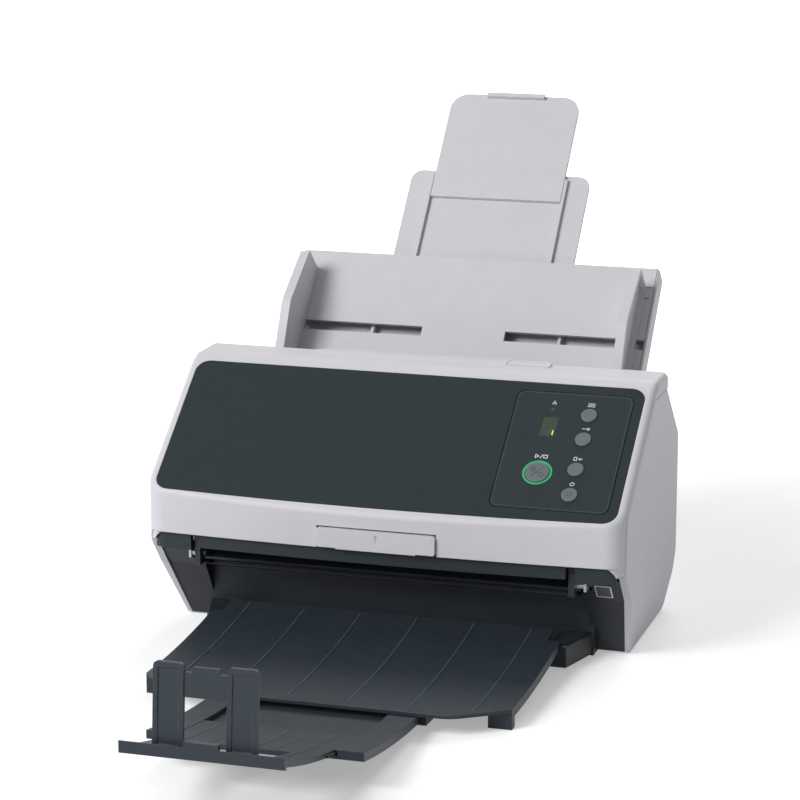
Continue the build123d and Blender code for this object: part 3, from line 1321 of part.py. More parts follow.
def chute_extension_1():
    """Lower extension: plate with side ribs that guide the upper one, and a finger lip on top."""
    _, second, first, _ = chute_depths()
    face = Pos(0, (EXT_A_LOW + EXT_A_HIGH) / 2) * Rectangle(2 * EXT_A_HALF, EXT_A_HIGH - EXT_A_LOW)
    face = fillet(face.vertices().filter_by(lambda v: v.Y > EXT_A_LOW + 5), 8)
    solid = plate(CHUTE, face, first - EXT_PLATE, first)
    rib = EXT_B_HALF + EXT_GAP
    for side in (1, -1):
        x0, x1 = sorted((side * rib, side * (rib + 2)))
        solid += block(x0, x1, EXT_A_LOW, EXT_A_HIGH - 4, first, second, CHUTE)
    return solid


def chute_extension_2():
    """Upper extension, with a pull lip at its end."""
    second = chute_depths()[1]
    face = Pos(0, (EXT_B_LOW + EXT_B_HIGH) / 2) * Rectangle(2 * EXT_B_HALF, EXT_B_HIGH - EXT_B_LOW)
    face = fillet(face.vertices().filter_by(lambda v: v.Y > EXT_B_LOW + 5), 12)
    solid = plate(CHUTE, face, second - EXT_PLATE, second)
    return solid + block(-20, 20, EXT_B_HIGH - 3, EXT_B_HIGH, second, second + 3, CHUTE)


# Stacker
def arc_face(depth0, depth1, y0, y1):
    """Side view of a strip of the trough between two depths under its upper surface."""
    ring = Circle(CURVE_RADIUS + depth1) - Circle(CURVE_RADIUS + depth0)
    window = Pos((y0 + y1) / 2, CURVE_Z / 4) * Rectangle(y1 - y0, CURVE_Z / 2 + 60)
    return (Pos(CURVE_Y, CURVE_Z) * ring) & window


def arc_strip(depth0, depth1, y0, y1, x0, x1):
    return side_prism(arc_face(depth0, depth1, y0, y1), x0, x1)


def arc_z(y, depth):
    return CURVE_Z - sqrt((CURVE_RADIUS + depth) ** 2 - (y - CURVE_Y) ** 2)


def stacker():
    """Main tray: curved skin with side rims, feet at its front corners, hinge knuckles and rails."""
    half = STACKER_HALF
    low = STACKER_FRONT - STACKER_BOW
    skin = arc_strip(0, STACKER_SKIN, low, STACKER_BACK, -half, half)
    plan = make_face(Polyline((-half, STACKER_BACK), (-half, STACKER_FRONT), (-half + 30, low),
                              (half - 30, low), (half, STACKER_FRONT), (half, STACKER_BACK), close=True))
    plan = fillet(plan.vertices().filter_by(lambda v: v.Y < low + 1), 18)
    solid = skin & extrude(plan, 60)
    for side in (1, -1):
        x0, x1 = sorted((side * (half - 3), side * half))
        solid += arc_strip(STACKER_SKIN, STACKER_RIM, STACKER_FRONT, EAR_FRONT - 2, x0, x1)
        x0, x1 = sorted((side * (half - 14), side * half))
        foot = block(x0, x1, STACKER_FRONT, STACKER_FRONT + 6, 0, arc_z(STACKER_FRONT, 1))
        solid += foot
        rail = SLEDGE_HALF + SLEDGE_GAP
        x0, x1 = sorted((side * rail, side * (rail + RAIL_WIDTH)))
        deep = STACKER_SKIN + SLEDGE_THICK + 2 * SLEDGE_GAP
        solid += arc_strip(STACKER_SKIN, deep, low + 6, PIVOT_Y - 12, x0, x1)
        x0, x1 = sorted((side * (rail - LIP_WIDTH), side * (rail + RAIL_WIDTH)))
        solid += arc_strip(deep, deep + 1.2, low + 6, PIVOT_Y - 12, x0, x1)
        solid += knuckle(side)
    return solid - stacker_cut()


def stacker_cut():
    """Clears the tray's rear corners from the ears of the front frame."""
    cut = block(EAR_INNER - 0.5, STACKER_HALF + 5, EAR_FRONT - 0.6, 0, 0, 40)
    return both_sides(cut)


def knuckle(side):
    """Hinge eye under the tray's rear edge, beside an ear of the front frame."""
    x0, x1 = sorted((side * (EAR_INNER - 0.5), side * (EAR_INNER - 10.5)))
    eye = rod(PIVOT_Y, PIVOT_Z, KNUCKLE, x0, x1)
    front = PIVOT_Y - KNUCKLE
    rear = PIVOT_Y + KNUCKLE
    web = outline([(front, PIVOT_Z), (rear, PIVOT_Z), (rear, arc_z(rear, 1)), (front, arc_z(front, 1))])
    eye += side_prism(web, x0, x1)
    return eye - rod(PIVOT_Y, PIVOT_Z, PIVOT_PIN + SHAFT_PLAY, x0 - 1, x1 + 1)


def sledge_depths():
    top = STACKER_SKIN + SLEDGE_GAP
    return top, top + SLEDGE_THICK


def tip_top():
    return sledge_depths()[0] + 0.2


def tip_low():
    return sledge_depths()[1] - 1.7 - SLEDGE_GAP


def stacker_extension_1():
    """First extension: curved tray with a recess, open at both ends, in which the second one slides."""
    top, low = sledge_depths()
    solid = arc_strip(top, low, SLEDGE_FRONT, SLEDGE_BACK, -SLEDGE_HALF, SLEDGE_HALF)
    room = TIP_HALF + SLEDGE_GAP
    floor = tip_low() + SLEDGE_GAP
    solid -= arc_strip(top - 1, floor, SLEDGE_FRONT - 5, SLEDGE_BACK + 5, -room, room)
    groove = room + TONGUE
    solid -= arc_strip(top + 1.0, floor, SLEDGE_FRONT - 5, SLEDGE_BACK + 5, -groove, groove)
    return solid


def stacker_extension_2():
    """Second extension: narrow curved tray with a front bar and a window for the stopper."""
    top, low = tip_top(), tip_low()
    solid = arc_strip(top, low, TIP_FRONT, TIP_BACK, -TIP_HALF, TIP_HALF)
    reach = TIP_HALF + TONGUE - SLEDGE_GAP
    solid += arc_strip(top + 1.2, low, TONGUE_FRONT, TIP_BACK, -reach, reach)
    solid += arc_strip(0.5, low + 1.5, TIP_FRONT, TIP_FRONT + 3, -TIP_HALF, TIP_HALF)
    window = STOPPER_HALF + 0.5
    back = STOPPER_Y + STOPPER_HEIGHT + 3
    solid -= arc_strip(-1, low + 3, TIP_FRONT + 3, back, -window, window)
    y, z = stopper_pivot()
    bar = block(-9.5, 9.5, TIP_FRONT, TIP_FRONT + 3, arc_z(TIP_FRONT, 1), arc_z(TIP_FRONT, -2.2))
    return solid + bar - rod(y, z, STOPPER_PIN + SHAFT_PLAY, -window - 4, window + 4)


def stopper_pivot():
    return STOPPER_Y, arc_z(STOPPER_Y, STOPPER_DEPTH)


def stopper():
    """Flip-up stop: two posts joined by a bar whose middle stands higher, on a pin stub at each side."""
    y, z = stopper_pivot()
    lean = radians(STOPPER_LEAN)
    frame = Plane(origin=(0, y, z), x_dir=(1, 0, 0), z_dir=(0, -cos(lean), sin(lean)))
    half = STOPPER_THICK / 2
    solid = None
    for side in (1, -1):
        middle = side * (STOPPER_HALF - POST_WIDTH / 2)
        face = Pos(middle, STOPPER_HEIGHT / 2) * Rectangle(POST_WIDTH, STOPPER_HEIGHT)
        face = fillet(face.vertices().filter_by(lambda v: v.Y > 1), 2.5)
        left = middle - POST_WIDTH / 2
        right = middle + POST_WIDTH / 2
        post_solid = plate(frame, face, -half, half) + rod(y, z, half, left, right)
        post_solid -= block(left + 2.6, right - 2.6, 4, STOPPER_HEIGHT - 3, half - 0.6, half + 1, frame)
        solid = post_solid if solid is None else solid + post_solid
    gap = STOPPER_HALF - POST_WIDTH + 0.5
    high = STOPPER_HEIGHT - 4.5
    solid += block(-gap, gap, high - STOPPER_BAR, high, -half, half - 0.8, frame)
    tab = Pos(0, high - 2) * RectangleRounded(15, 10, 1.5)
    solid += plate(frame, tab, -half, half - 0.8)
    return solid + both_sides(rod(y, z, STOPPER_PIN, STOPPER_HALF - 2, STOPPER_HALF + 4))


# Boards and sockets at the rear
def main_board():
    board = block(BOARD_LEFT, BOARD_RIGHT, BOARD_Y, BOARD_Y + BOARD_THICK, BOARD_LOW, BOARD_HIGH)
    board += block(-20, 4, BOARD_Y - 2, BOARD_Y, 62, 80)
    board += block(14, 30, BOARD_Y - 2, BOARD_Y, 44, 60)
    return board


def socket_body(x, width, height):
    start = BOARD_Y + BOARD_THICK
    return block(x - width / 2, x + width / 2, start, BODY_REAR - 0.6, SOCKET_Z, SOCKET_Z + height)


def dc_inlet():
    body = socket_body(INLET_X, INLET_SIZE, INLET_SIZE)
    middle = SOCKET_Z + INLET_SIZE / 2
    end = BODY_REAR - 0.6
    bore = Pos(INLET_X, end - SOCKET_DEPTH / 2, middle) * Rot(90, 0, 0) * Cylinder(INLET_BORE, SOCKET_DEPTH)
    pin = Pos(INLET_X, end - SOCKET_DEPTH / 2 - 1, middle) * Rot(90, 0, 0) * Cylinder(1.0, SOCKET_DEPTH - 1)
    return body - bore + pin


def usb_socket():
    body = socket_body(USB_X, USB_WIDTH, USB_HEIGHT)
    end = BODY_REAR - 0.6
    mouth = block(USB_X - 4.2, USB_X + 4.2, end - SOCKET_DEPTH, end + 1, SOCKET_Z + 1.6, SOCKET_Z + 9.4)
    tongue = block(USB_X - 2.8, USB_X + 2.8, end - SOCKET_DEPTH - 1, end - 1, SOCKET_Z + 3.9, SOCKET_Z + 7.1)
    return body - mouth + tongue


def lan_socket():
    body = socket_body(LAN_X, LAN_WIDTH, LAN_HEIGHT)
    end = BODY_REAR - 0.6
    mouth = block(LAN_X - 5.9, LAN_X + 5.9, end - SOCKET_DEPTH, end + 1, SOCKET_Z + 3.0, SOCKET_Z + 10.0)
    mouth += block(LAN_X - 3.0, LAN_X + 3.0, end - SOCKET_DEPTH, end + 1, SOCKET_Z + 1.4, SOCKET_Z + 4.0)
    return body - mouth


# Assembly
def build_nodes():
    feed_phase, exit_phase, motor_phase = feed_phases()
    pick_phase = 0.0
    pick_motor_phase = mesh_phase(PICK, PICK_TEETH, pick_phase, PICK_MOTOR, MOTOR_TEETH)
    end = shaft_end()
    far = GEAR_X + GEAR_WIDTH
    right_cover = side_cover()
    nodes = {
        "base_tray": base_tray(),
        "rubber_feet": rubber_feet(),
        "base_screws": base_screws(),
        "right_side_cover": right_cover,
        "left_side_cover": mirror(right_cover, about=Plane.YZ),
        "rear_cover": rear_cover(),
        "front_frame": front_frame(),
        "right_inner_frame": right_inner_frame(),
        "left_inner_frame": left_inner_frame(),
        "shaft_bushes": shaft_bushes(),
        "hinge_pins": hinge_pins(),
        "lower_paper_guide": lower_paper_guide(),
        "lower_scan_glass": scan_glass(),
        "lower_optics_housing": optics_housing(),
        "feed_motor": motor_body(MOTOR),
        "pick_motor": mirror(motor_body(PICK_MOTOR), about=Plane.YZ),
        "main_board": main_board(),
        "dc_inlet": dc_inlet(),
        "usb_socket": usb_socket(),
        "lan_socket": lan_socket(),
        "pick_shaft": roller_shaft(PICK, -far, end) + mirror(
            drive_gear(PICK, PICK_TEETH, 1, pick_phase), about=Plane.YZ),
        "pick_tyres": tyres(PICK, PICK_RADIUS, PICK_TYRE, SHAFT_RADIUS),
        "pick_pinion": mirror(motor_pinion(PICK_MOTOR, pick_motor_phase), about=Plane.YZ),
        "feed_shaft": roller_shaft(FEED, -end, far) + drive_gear(FEED, FEED_TEETH, 1, feed_phase),
        "feed_tyres": tyres(FEED, FEED_RADIUS, FEED_TYRE, SHAFT_RADIUS),
        "exit_shaft": roller_shaft(EXIT, -end, far) + drive_gear(EXIT, FEED_TEETH, 1, exit_phase),
        "exit_tyres": tyres(EXIT, FEED_RADIUS, FEED_TYRE, SHAFT_RADIUS),
        "idler_gear": drive_gear(IDLER, IDLER_TEETH, IDLER_STUD + SHAFT_PLAY, 0.0),
        "feed_pinion": motor_pinion(MOTOR, motor_phase),
        "top_cover_shell": top_cover_shell(),
        "front_panel": front_panel(),
        "operator_bezel": operator_bezel(),
        "display_window": display_window(),
        "check_lamp": check_lamp(),
        "scan_light_ring": scan_light_ring(),
        "panel_board": panel_board(),
        "upper_chassis": upper_chassis(),
        "upper_scan_glass": scan_glass(upper=True),
        "upper_optics_housing": optics_housing(upper=True),
        "brake_roller": brake_roller() + tyres(BRAKE, BRAKE_RADIUS, PICK_TYRE, SHAFT_RADIUS),
        "feed_idlers": idlers(FEED_IDLER, IDLER_RADIUS),
        "exit_idlers": idlers(EXIT_IDLER, EXIT_IDLER_RADIUS),
        "release_tab": release_tab(),
        "latch_bar": latch_bar(),
        "chute_body": chute_body(),
        "chute_back_cover": chute_back_cover(),
        "left_side_guide": side_guide(-1),
        "right_side_guide": side_guide(1),
        "guide_pinion": guide_pinion(),
        "chute_extension_1": chute_extension_1(),
        "chute_extension_2": chute_extension_2(),
        "stacker": stacker(),
        "stacker_extension_1": stacker_extension_1(),
        "stacker_extension_2": stacker_extension_2(),
        "stopper": stopper(),
    }
    for name, place in button_places().items():
        nodes[name + "_button"] = button(*place)
    return nodes


def footprint_middle(nodes):
    boxes = [solid.bounding_box() for solid in nodes.values()]
    return (min(b.min.Y for b in boxes) + max(b.max.Y for b in boxes)) / 2


NODES = build_nodes()
MIDDLE_Y = footprint_middle(NODES)

os.makedirs("parts", exist_ok=True)
for name, solid in NODES.items():
    export_step(Pos(0, -MIDDLE_Y, 0) * solid, f"parts/{name}.step")
print("nodes", len(NODES), "middle", round(MIDDLE_Y, 3))
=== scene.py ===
from math import cos, hypot, radians, sin, sqrt

import bmesh
import bpy
from mathutils import Euler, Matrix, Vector


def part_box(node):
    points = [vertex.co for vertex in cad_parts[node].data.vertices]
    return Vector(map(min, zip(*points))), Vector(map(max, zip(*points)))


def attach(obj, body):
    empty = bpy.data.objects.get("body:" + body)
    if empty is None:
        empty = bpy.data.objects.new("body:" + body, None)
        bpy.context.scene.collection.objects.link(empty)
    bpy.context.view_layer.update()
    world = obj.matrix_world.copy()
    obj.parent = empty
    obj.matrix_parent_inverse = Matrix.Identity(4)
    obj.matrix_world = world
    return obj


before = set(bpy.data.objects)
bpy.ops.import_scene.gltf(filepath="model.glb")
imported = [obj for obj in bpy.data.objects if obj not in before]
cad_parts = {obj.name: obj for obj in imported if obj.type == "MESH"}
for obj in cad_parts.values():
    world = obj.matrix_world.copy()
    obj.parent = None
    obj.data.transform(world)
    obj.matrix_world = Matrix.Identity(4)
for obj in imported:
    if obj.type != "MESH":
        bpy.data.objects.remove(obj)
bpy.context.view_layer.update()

# Camera, floor and light. The camera stands to the right of the scanner's front and looks a little down,
# with a long lens. The floor and the background are plain white paper, lit by soft lamps.
LENS = 128.25
SENSOR_WIDTH = 36
NEAREST_SEEN = 0.05
CAMERA_PLACE = (0.49347, -1.57699, 0.54159)
CAMERA_TURN = (radians(76.934), radians(-0.038), radians(17.039))
camera = bpy.data.objects.new("camera", bpy.data.cameras.new("camera"))
camera.data.lens = LENS
camera.data.sensor_width = SENSOR_WIDTH
camera.data.clip_start = NEAREST_SEEN
camera.location = CAMERA_PLACE
camera.rotation_euler = Euler(CAMERA_TURN)
bpy.context.scene.collection.objects.link(camera)
bpy.context.scene.camera = camera
bpy.context.scene.view_settings.view_transform = "Standard"


def soft_lamp(name, place, aim, size, power):
    """A square lamp that faces the aimed point."""
    lamp = bpy.data.objects.new(name, bpy.data.lights.new(name, "AREA"))
    lamp.data.size = size
    lamp.data.energy = power
    lamp.location = place
    lamp.rotation_euler = (Vector(aim) - Vector(place)).to_track_quat("-Z", "Y").to_euler()
    bpy.context.scene.collection.objects.link(lamp)


SCANNER_MIDDLE = (0, 0, 0.1)
soft_lamp("front_left_lamp", (-1.5, -2.1, 1.9), SCANNER_MIDDLE, size=1.4, power=84)
soft_lamp("rear_lamp", (0.2, 2.1, 2.0), SCANNER_MIDDLE, size=1.6, power=32)

# Strength of the white surroundings for the light that they cast. Seen directly, they are plain white.
AMBIENT = 0.22


def seen_directly(tree):
    """One for the rays that show the background by themselves, in a mirror or through glass."""
    rays = tree.nodes.new("ShaderNodeLightPath")
    mirrored = tree.nodes.new("ShaderNodeMath")
    mirrored.operation = "MAXIMUM"
    tree.links.new(rays.outputs["Is Glossy Ray"], mirrored.inputs[0])
    tree.links.new(rays.outputs["Is Transmission Ray"], mirrored.inputs[1])
    seen = tree.nodes.new("ShaderNodeMath")
    seen.operation = "MAXIMUM"
    tree.links.new(rays.outputs["Is Camera Ray"], seen.inputs[0])
    tree.links.new(mirrored.outputs[0], seen.inputs[1])
    return seen.outputs[0]


world = bpy.data.worlds.new("white_studio")
world.use_nodes = True
bpy.context.scene.world = world
tree = world.node_tree
background = tree.nodes["Background"]
strength = tree.nodes.new("ShaderNodeMapRange")
strength.inputs["To Min"].default_value = AMBIENT
strength.inputs["To Max"].default_value = 1.0
tree.links.new(seen_directly(tree), strength.inputs["Value"])
tree.links.new(strength.outputs["Result"], background.inputs["Strength"])
background.inputs["Color"].default_value = (1, 1, 1, 1)

FLOOR_SIZE = 12.0
bpy.ops.mesh.primitive_plane_add(size=FLOOR_SIZE, location=(0, 0, 0))
floor = bpy.context.object
floor.name = "floor"
paper_floor = bpy.data.materials.new("paper_floor")
paper_floor.use_nodes = True
tree = paper_floor.node_tree
shader = tree.nodes["Principled BSDF"]
shader.inputs["Roughness"].default_value = 0.9
shader.inputs["Specular IOR Level"].default_value = 0.1
shader.inputs["Base Color"].default_value = (0.86, 0.86, 0.87, 1)
shader.inputs["Emission Color"].default_value = (1, 1, 1, 1)
away = tree.nodes.new("ShaderNodeVectorMath")
away.operation = "LENGTH"
tree.links.new(tree.nodes.new("ShaderNodeTexCoord").outputs["Object"], away.inputs[0])
backdrop = tree.nodes.new("ShaderNodeMapRange")
# Each is a distance from the middle and the glow of the floor there.
NEAR_FLOOR = (0.35, 0.36)
FAR_FLOOR = (1.6, 1.0)
backdrop.inputs["From Min"].default_value, backdrop.inputs["To Min"].default_value = NEAR_FLOOR
backdrop.inputs["From Max"].default_value, backdrop.inputs["To Max"].default_value = FAR_FLOOR
tree.links.new(away.outputs["Value"], backdrop.inputs["Value"])
lift = tree.nodes.new("ShaderNodeMath")
lift.operation = "MULTIPLY"
tree.links.new(seen_directly(tree), lift.inputs[0])
tree.links.new(backdrop.outputs["Result"], lift.inputs[1])
tree.links.new(lift.outputs[0], shader.inputs["Emission Strength"])
floor.data.materials.append(paper_floor)


# Base tray, four rubber feet and four screws. The tray is a dark moulding that closes the housing below,
# the feet are pressed in its pockets, and the slotted screws hold it to the feet of the steel frames.
def node_group(name, values, outputs):
    """An empty shader node group with number inputs and their usual values, and the given outputs."""
    group = bpy.data.node_groups.new(name, "ShaderNodeTree")
    for socket, value in values.items():
        made = group.interface.new_socket(name=socket, in_out="INPUT", socket_type="NodeSocketFloat")
        made.default_value = value
    for socket, kind in outputs.items():
        group.interface.new_socket(name=socket, in_out="OUTPUT", socket_type="NodeSocket" + kind)
    return group, group.nodes.new("NodeGroupInput"), group.nodes.new("NodeGroupOutput")


def math_node(tree, operation, first, second=0.0, clamp=False):
    """A Math node fed by sockets or plain numbers."""
    made = tree.nodes.new("ShaderNodeMath")
    made.operation = operation
    made.use_clamp = clamp
    for socket, value in zip(made.inputs, (first, second)):
        if isinstance(value, bpy.types.NodeSocket):
            tree.links.new(value, socket)
        else:
            socket.default_value = value
    return made.outputs[0]


def noise_node(tree, coordinates, scale, detail):
    made = tree.nodes.new("ShaderNodeTexNoise")
    made.inputs["Detail"].default_value = detail
    tree.links.new(coordinates, made.inputs["Vector"])
    if isinstance(scale, bpy.types.NodeSocket):
        tree.links.new(scale, made.inputs["Scale"])
    else:
        made.inputs["Scale"].default_value = scale
    return made.outputs["Fac"]


def moulded_grain_group():
    """Spark-eroded grain of a moulding tool, with the faint flow patches of the plastic."""
    group, given, result = node_group("moulded_grain", {"Grain": 1400.0, "Patches": 70.0},
                                      {"Height": "Float", "Tone": "Float"})
    place = group.nodes.new("ShaderNodeTexCoord").outputs["Object"]
    fine = noise_node(group, place, given.outputs["Grain"], 3.0)
    pits = group.nodes.new("ShaderNodeTexVoronoi")
    pits.feature = "SMOOTH_F1"
    group.links.new(place, pits.inputs["Vector"])
    group.links.new(given.outputs["Grain"], pits.inputs["Scale"])
    height = math_node(group, "ADD", fine, pits.outputs["Distance"])
    patches = noise_node(group, place, given.outputs["Patches"], 4.0)
    speckle = math_node(group, "MULTIPLY", fine, 0.3)
    tone = math_node(group, "ADD", math_node(group, "MULTIPLY", patches, 0.6), speckle)
    group.links.new(height, result.inputs["Height"])
    group.links.new(tone, result.inputs["Tone"])
    return group


def handled_edges_group():
    """Rounds the look of sharp edges and marks where hands and desks rub them; on mouldings the mark also
    paints a pale edge highlight.
    """
    group, given, result = node_group("handled_edges", {"Radius": 0.0004, "Patches": 45.0},
                                      {"Mask": "Float", "Rounded": "Vector"})
    bevel = group.nodes.new("ShaderNodeBevel")
    bevel.samples = 4
    group.links.new(given.outputs["Radius"], bevel.inputs["Radius"])
    shape = group.nodes.new("ShaderNodeNewGeometry")
    same = group.nodes.new("ShaderNodeVectorMath")
    same.operation = "DOT_PRODUCT"
    group.links.new(bevel.outputs["Normal"], same.inputs[0])
    group.links.new(shape.outputs["Normal"], same.inputs[1])
    turned = math_node(group, "SUBTRACT", 1.0, same.outputs["Value"])
    sharp = math_node(group, "MULTIPLY", turned, 9.0, clamp=True)
    place = group.nodes.new("ShaderNodeTexCoord").outputs["Object"]
    patches = noise_node(group, place, given.outputs["Patches"], 4.0)
    broken = math_node(group, "MULTIPLY", math_node(group, "SUBTRACT", patches, 0.42), 5.0, clamp=True)
    group.links.new(math_node(group, "MULTIPLY", sharp, broken), result.inputs["Mask"])
    group.links.new(bevel.outputs["Normal"], result.inputs["Rounded"])
    return group


def settled_dust_group():
    """Fine office dust that lies on the faces that look up."""
    amounts = {"Amount": 0.15, "Patches": 140.0}
    group, given, result = node_group("settled_dust", amounts, {"Mask": "Float"})
    coordinates = group.nodes.new("ShaderNodeTexCoord")
    split = group.nodes.new("ShaderNodeSeparateXYZ")
    group.links.new(coordinates.outputs["Normal"], split.inputs[0])
    upward = math_node(group, "SUBTRACT", split.outputs["Z"], 0.45)
    level = math_node(group, "MULTIPLY", upward, 2.0, clamp=True)
    patches = noise_node(group, coordinates.outputs["Object"], given.outputs["Patches"], 5.0)
    broken = math_node(group, "MULTIPLY", math_node(group, "SUBTRACT", patches, 0.35), 2.5, clamp=True)
    dusty = math_node(group, "MULTIPLY", level, broken)
    group.links.new(math_node(group, "MULTIPLY", dusty, given.outputs["Amount"]), result.inputs["Mask"])
    return group


moulded_grain = moulded_grain_group()
handled_edges = handled_edges_group()
settled_dust = settled_dust_group()


def placed(tree, group, **values):
    """A copy of a node group in a material, with its own values."""
    made = tree.nodes.new("ShaderNodeGroup")
    made.node_tree = group
    for socket, value in values.items():
        made.inputs[socket].default_value = value
    return made.outputs


def blended(tree, mask, base, over):
    """Colour that goes from base to over with the mask. Each may be a plain colour or a socket."""
    made = tree.nodes.new("ShaderNodeMix")
    made.data_type = "RGBA"
    tree.links.new(mask, made.inputs[0])
    for socket, value in ((made.inputs[6], base), (made.inputs[7], over)):
        if isinstance(value, bpy.types.NodeSocket):
            tree.links.new(value, socket)
        else:
            socket.default_value = (*value, 1)
    return made.outputs[2]


def ranged(tree, value, low, high):
    made = tree.nodes.new("ShaderNodeMapRange")
    made.inputs["To Min"].default_value = low
    made.inputs["To Max"].default_value = high
    tree.links.new(value, made.inputs["Value"])
    return made.outputs["Result"]


def bumped(tree, height, depth, rounded):
    """Bump of the given depth in metres, on top of the rounded edges."""
    bump = tree.nodes.new("ShaderNodeBump")
    bump.inputs["Strength"].default_value = 0.6
    bump.inputs["Distance"].default_value = depth
    tree.links.new(height, bump.inputs["Height"])
    tree.links.new(rounded, bump.inputs["Normal"])
    return bump.outputs["Normal"]


def started(name):
    material = bpy.data.materials.new(name)
    material.use_nodes = True
    return material, material.node_tree, material.node_tree.nodes["Principled BSDF"]


def shaded(colour, amount):
    return tuple(channel * amount for channel in colour)


DUST_COLOUR = (0.62, 0.6, 0.56)


def moulded(name, colour, gloss, grain=1400.0, depth=0.00005, edge_wear_and_highlight=0.35, dust=0.02, radius=0.0004,
            sheen=0.3):
    """Injection-moulded plastic: tone patches, eroded grain, edges painted pale for both rubbing wear and
    a painted highlight, and a little dust.
    """
    material, tree, shader = started(name)
    skin = placed(tree, moulded_grain, Grain=grain)
    edges = placed(tree, handled_edges, Radius=radius)
    settled = placed(tree, settled_dust, Amount=dust)
    tone = blended(tree, skin["Tone"], shaded(colour, 0.93), shaded(colour, 1.07))
    # The edges are painted pale: partly the rub of hands, partly a painted highlight along the rounded
    # edges.
    pale = tuple(channel + (0.75 - channel) * 0.3 for channel in colour)
    worn = blended(tree, math_node(tree, "MULTIPLY", edges["Mask"], edge_wear_and_highlight), tone, pale)
    dusty = blended(tree, settled["Mask"], worn, DUST_COLOUR)
    tree.links.new(dusty, shader.inputs["Base Color"])
    shader.inputs["Specular IOR Level"].default_value = sheen
    tree.links.new(ranged(tree, skin["Tone"], gloss - 0.08, gloss + 0.08), shader.inputs["Roughness"])
    tree.links.new(bumped(tree, skin["Height"], depth, edges["Rounded"]), shader.inputs["Normal"])
    return material


def dress(material, *names):
    """Gives CAD nodes their finish."""
    for name in names:
        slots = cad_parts[name].data.materials
        slots.clear()
        slots.append(material)


def smooth_shaded(name, angle=32.0):
    """Smooths the shading of a CAD node's round faces and keeps its edges."""
    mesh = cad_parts[name].data
    mesh.shade_smooth()
    mesh.set_sharp_from_angle(angle=radians(angle))


tray_plastic = moulded("tray_plastic", (0.03, 0.037, 0.045), 0.55, grain=900.0, edge_wear_and_highlight=0.25)
dress(tray_plastic, "base_tray")

FOOT_COLOUR = (0.018, 0.018, 0.02)
foot_rubber = moulded("foot_rubber", FOOT_COLOUR, 0.8, grain=2600.0, depth=0.00003, edge_wear_and_highlight=0.15, dust=0.05)
dress(foot_rubber, "rubber_feet")


def brushed_metal_group():
    """Rolling or turning lines that run across the given stretch of the three axes."""
    along = {"Along X": 30.0, "Along Y": 900.0, "Along Z": 900.0}
    group, given, result = node_group("brushed_metal", along, {"Height": "Float", "Tone": "Float"})
    place = group.nodes.new("ShaderNodeTexCoord").outputs["Object"]
    scale = group.nodes.new("ShaderNodeCombineXYZ")
    for axis, socket in zip(("Along X", "Along Y", "Along Z"), scale.inputs):
        group.links.new(given.outputs[axis], socket)
    stretched = group.nodes.new("ShaderNodeVectorMath")
    stretched.operation = "MULTIPLY"
    group.links.new(place, stretched.inputs[0])
    group.links.new(scale.outputs[0], stretched.inputs[1])
    lines = noise_node(group, stretched.outputs[0], 1.0, 3.0)
    blotches = noise_node(group, place, 60.0, 3.0)
    lined = math_node(group, "MULTIPLY", lines, 0.6)
    blotched = math_node(group, "MULTIPLY", blotches, 0.4)
    tone = math_node(group, "ADD", lined, blotched)
    group.links.new(lines, result.inputs["Height"])
    group.links.new(tone, result.inputs["Tone"])
    return group


brushed_metal = brushed_metal_group()
RUBBED_METAL = (0.85, 0.85, 0.86)


def metal(name, colour, gloss, along=(30.0, 900.0, 900.0), depth=0.00002):
    """Bare or plated metal with its working lines and duller blotches."""
    material, tree, shader = started(name)
    lines = placed(tree, brushed_metal, **dict(zip(("Along X", "Along Y", "Along Z"), along)))
    edges = placed(tree, handled_edges, Radius=0.0003)
    tone = blended(tree, lines["Tone"], shaded(colour, 0.82), shaded(colour, 1.12))
    bright = blended(tree, math_node(tree, "MULTIPLY", edges["Mask"], 0.5), tone, RUBBED_METAL)
    tree.links.new(bright, shader.inputs["Base Color"])
    shader.inputs["Metallic"].default_value = 1.0
    tree.links.new(ranged(tree, lines["Tone"], gloss - 0.1, gloss + 0.12), shader.inputs["Roughness"])
    tree.links.new(bumped(tree, lines["Height"], depth, edges["Rounded"]), shader.inputs["Normal"])
    return material


zinc_screw = metal("zinc_screw", (0.52, 0.53, 0.55), 0.32)
dress(zinc_screw, "base_screws")

# Two steel side frames, their bushes and the hinge pins. The frames are pressed from zinc-plated sheet,
# the bushes are pale acetal pressed into them, and the turned pins carry the top cover.
plated_sheet = metal("plated_sheet", (0.5, 0.51, 0.52), 0.42, along=(60.0, 25.0, 700.0))
dress(plated_sheet, "right_inner_frame", "left_inner_frame")
turned_steel = metal("turned_steel", (0.56, 0.56, 0.57), 0.24, along=(2600.0, 60.0, 60.0))
dress(turned_steel, "hinge_pins")
bush_plastic = moulded("bush_plastic", (0.6, 0.57, 0.48), 0.42, grain=2600.0, depth=0.00002, edge_wear_and_highlight=0.2,
                       dust=0.0)
dress(bush_plastic, "shaft_bushes")

# Paper path: the dark floor that the sheets slide on, and a scanning unit above and one below the sheet,
# each a black trough with its sensor board and lens rods, closed by a clear glass plate.
guide_plastic = moulded("guide_plastic", (0.03, 0.034, 0.038), 0.36, grain=1800.0, depth=0.00002,
                        edge_wear_and_highlight=0.5)
dress(guide_plastic, "lower_paper_guide")
optics_plastic = moulded("optics_plastic", (0.014, 0.014, 0.016), 0.6, grain=1500.0, edge_wear_and_highlight=0.15,
                         dust=0.05)
dress(optics_plastic, "lower_optics_housing", "upper_optics_housing")


def smeared_group():
    """Faint wipe marks on glass and clear plastic."""
    group, given, result = node_group("smeared", {"Marks": 22.0}, {"Mask": "Float"})
    place = group.nodes.new("ShaderNodeTexCoord").outputs["Object"]
    drift = noise_node(group, place, given.outputs["Marks"], 2.0)
    streaks = noise_node(group, place, 240.0, 2.0)
    both = math_node(group, "MULTIPLY", drift, streaks)
    group.links.new(math_node(group, "MULTIPLY", both, 2.0, clamp=True), result.inputs["Mask"])
    return group


smeared = smeared_group()

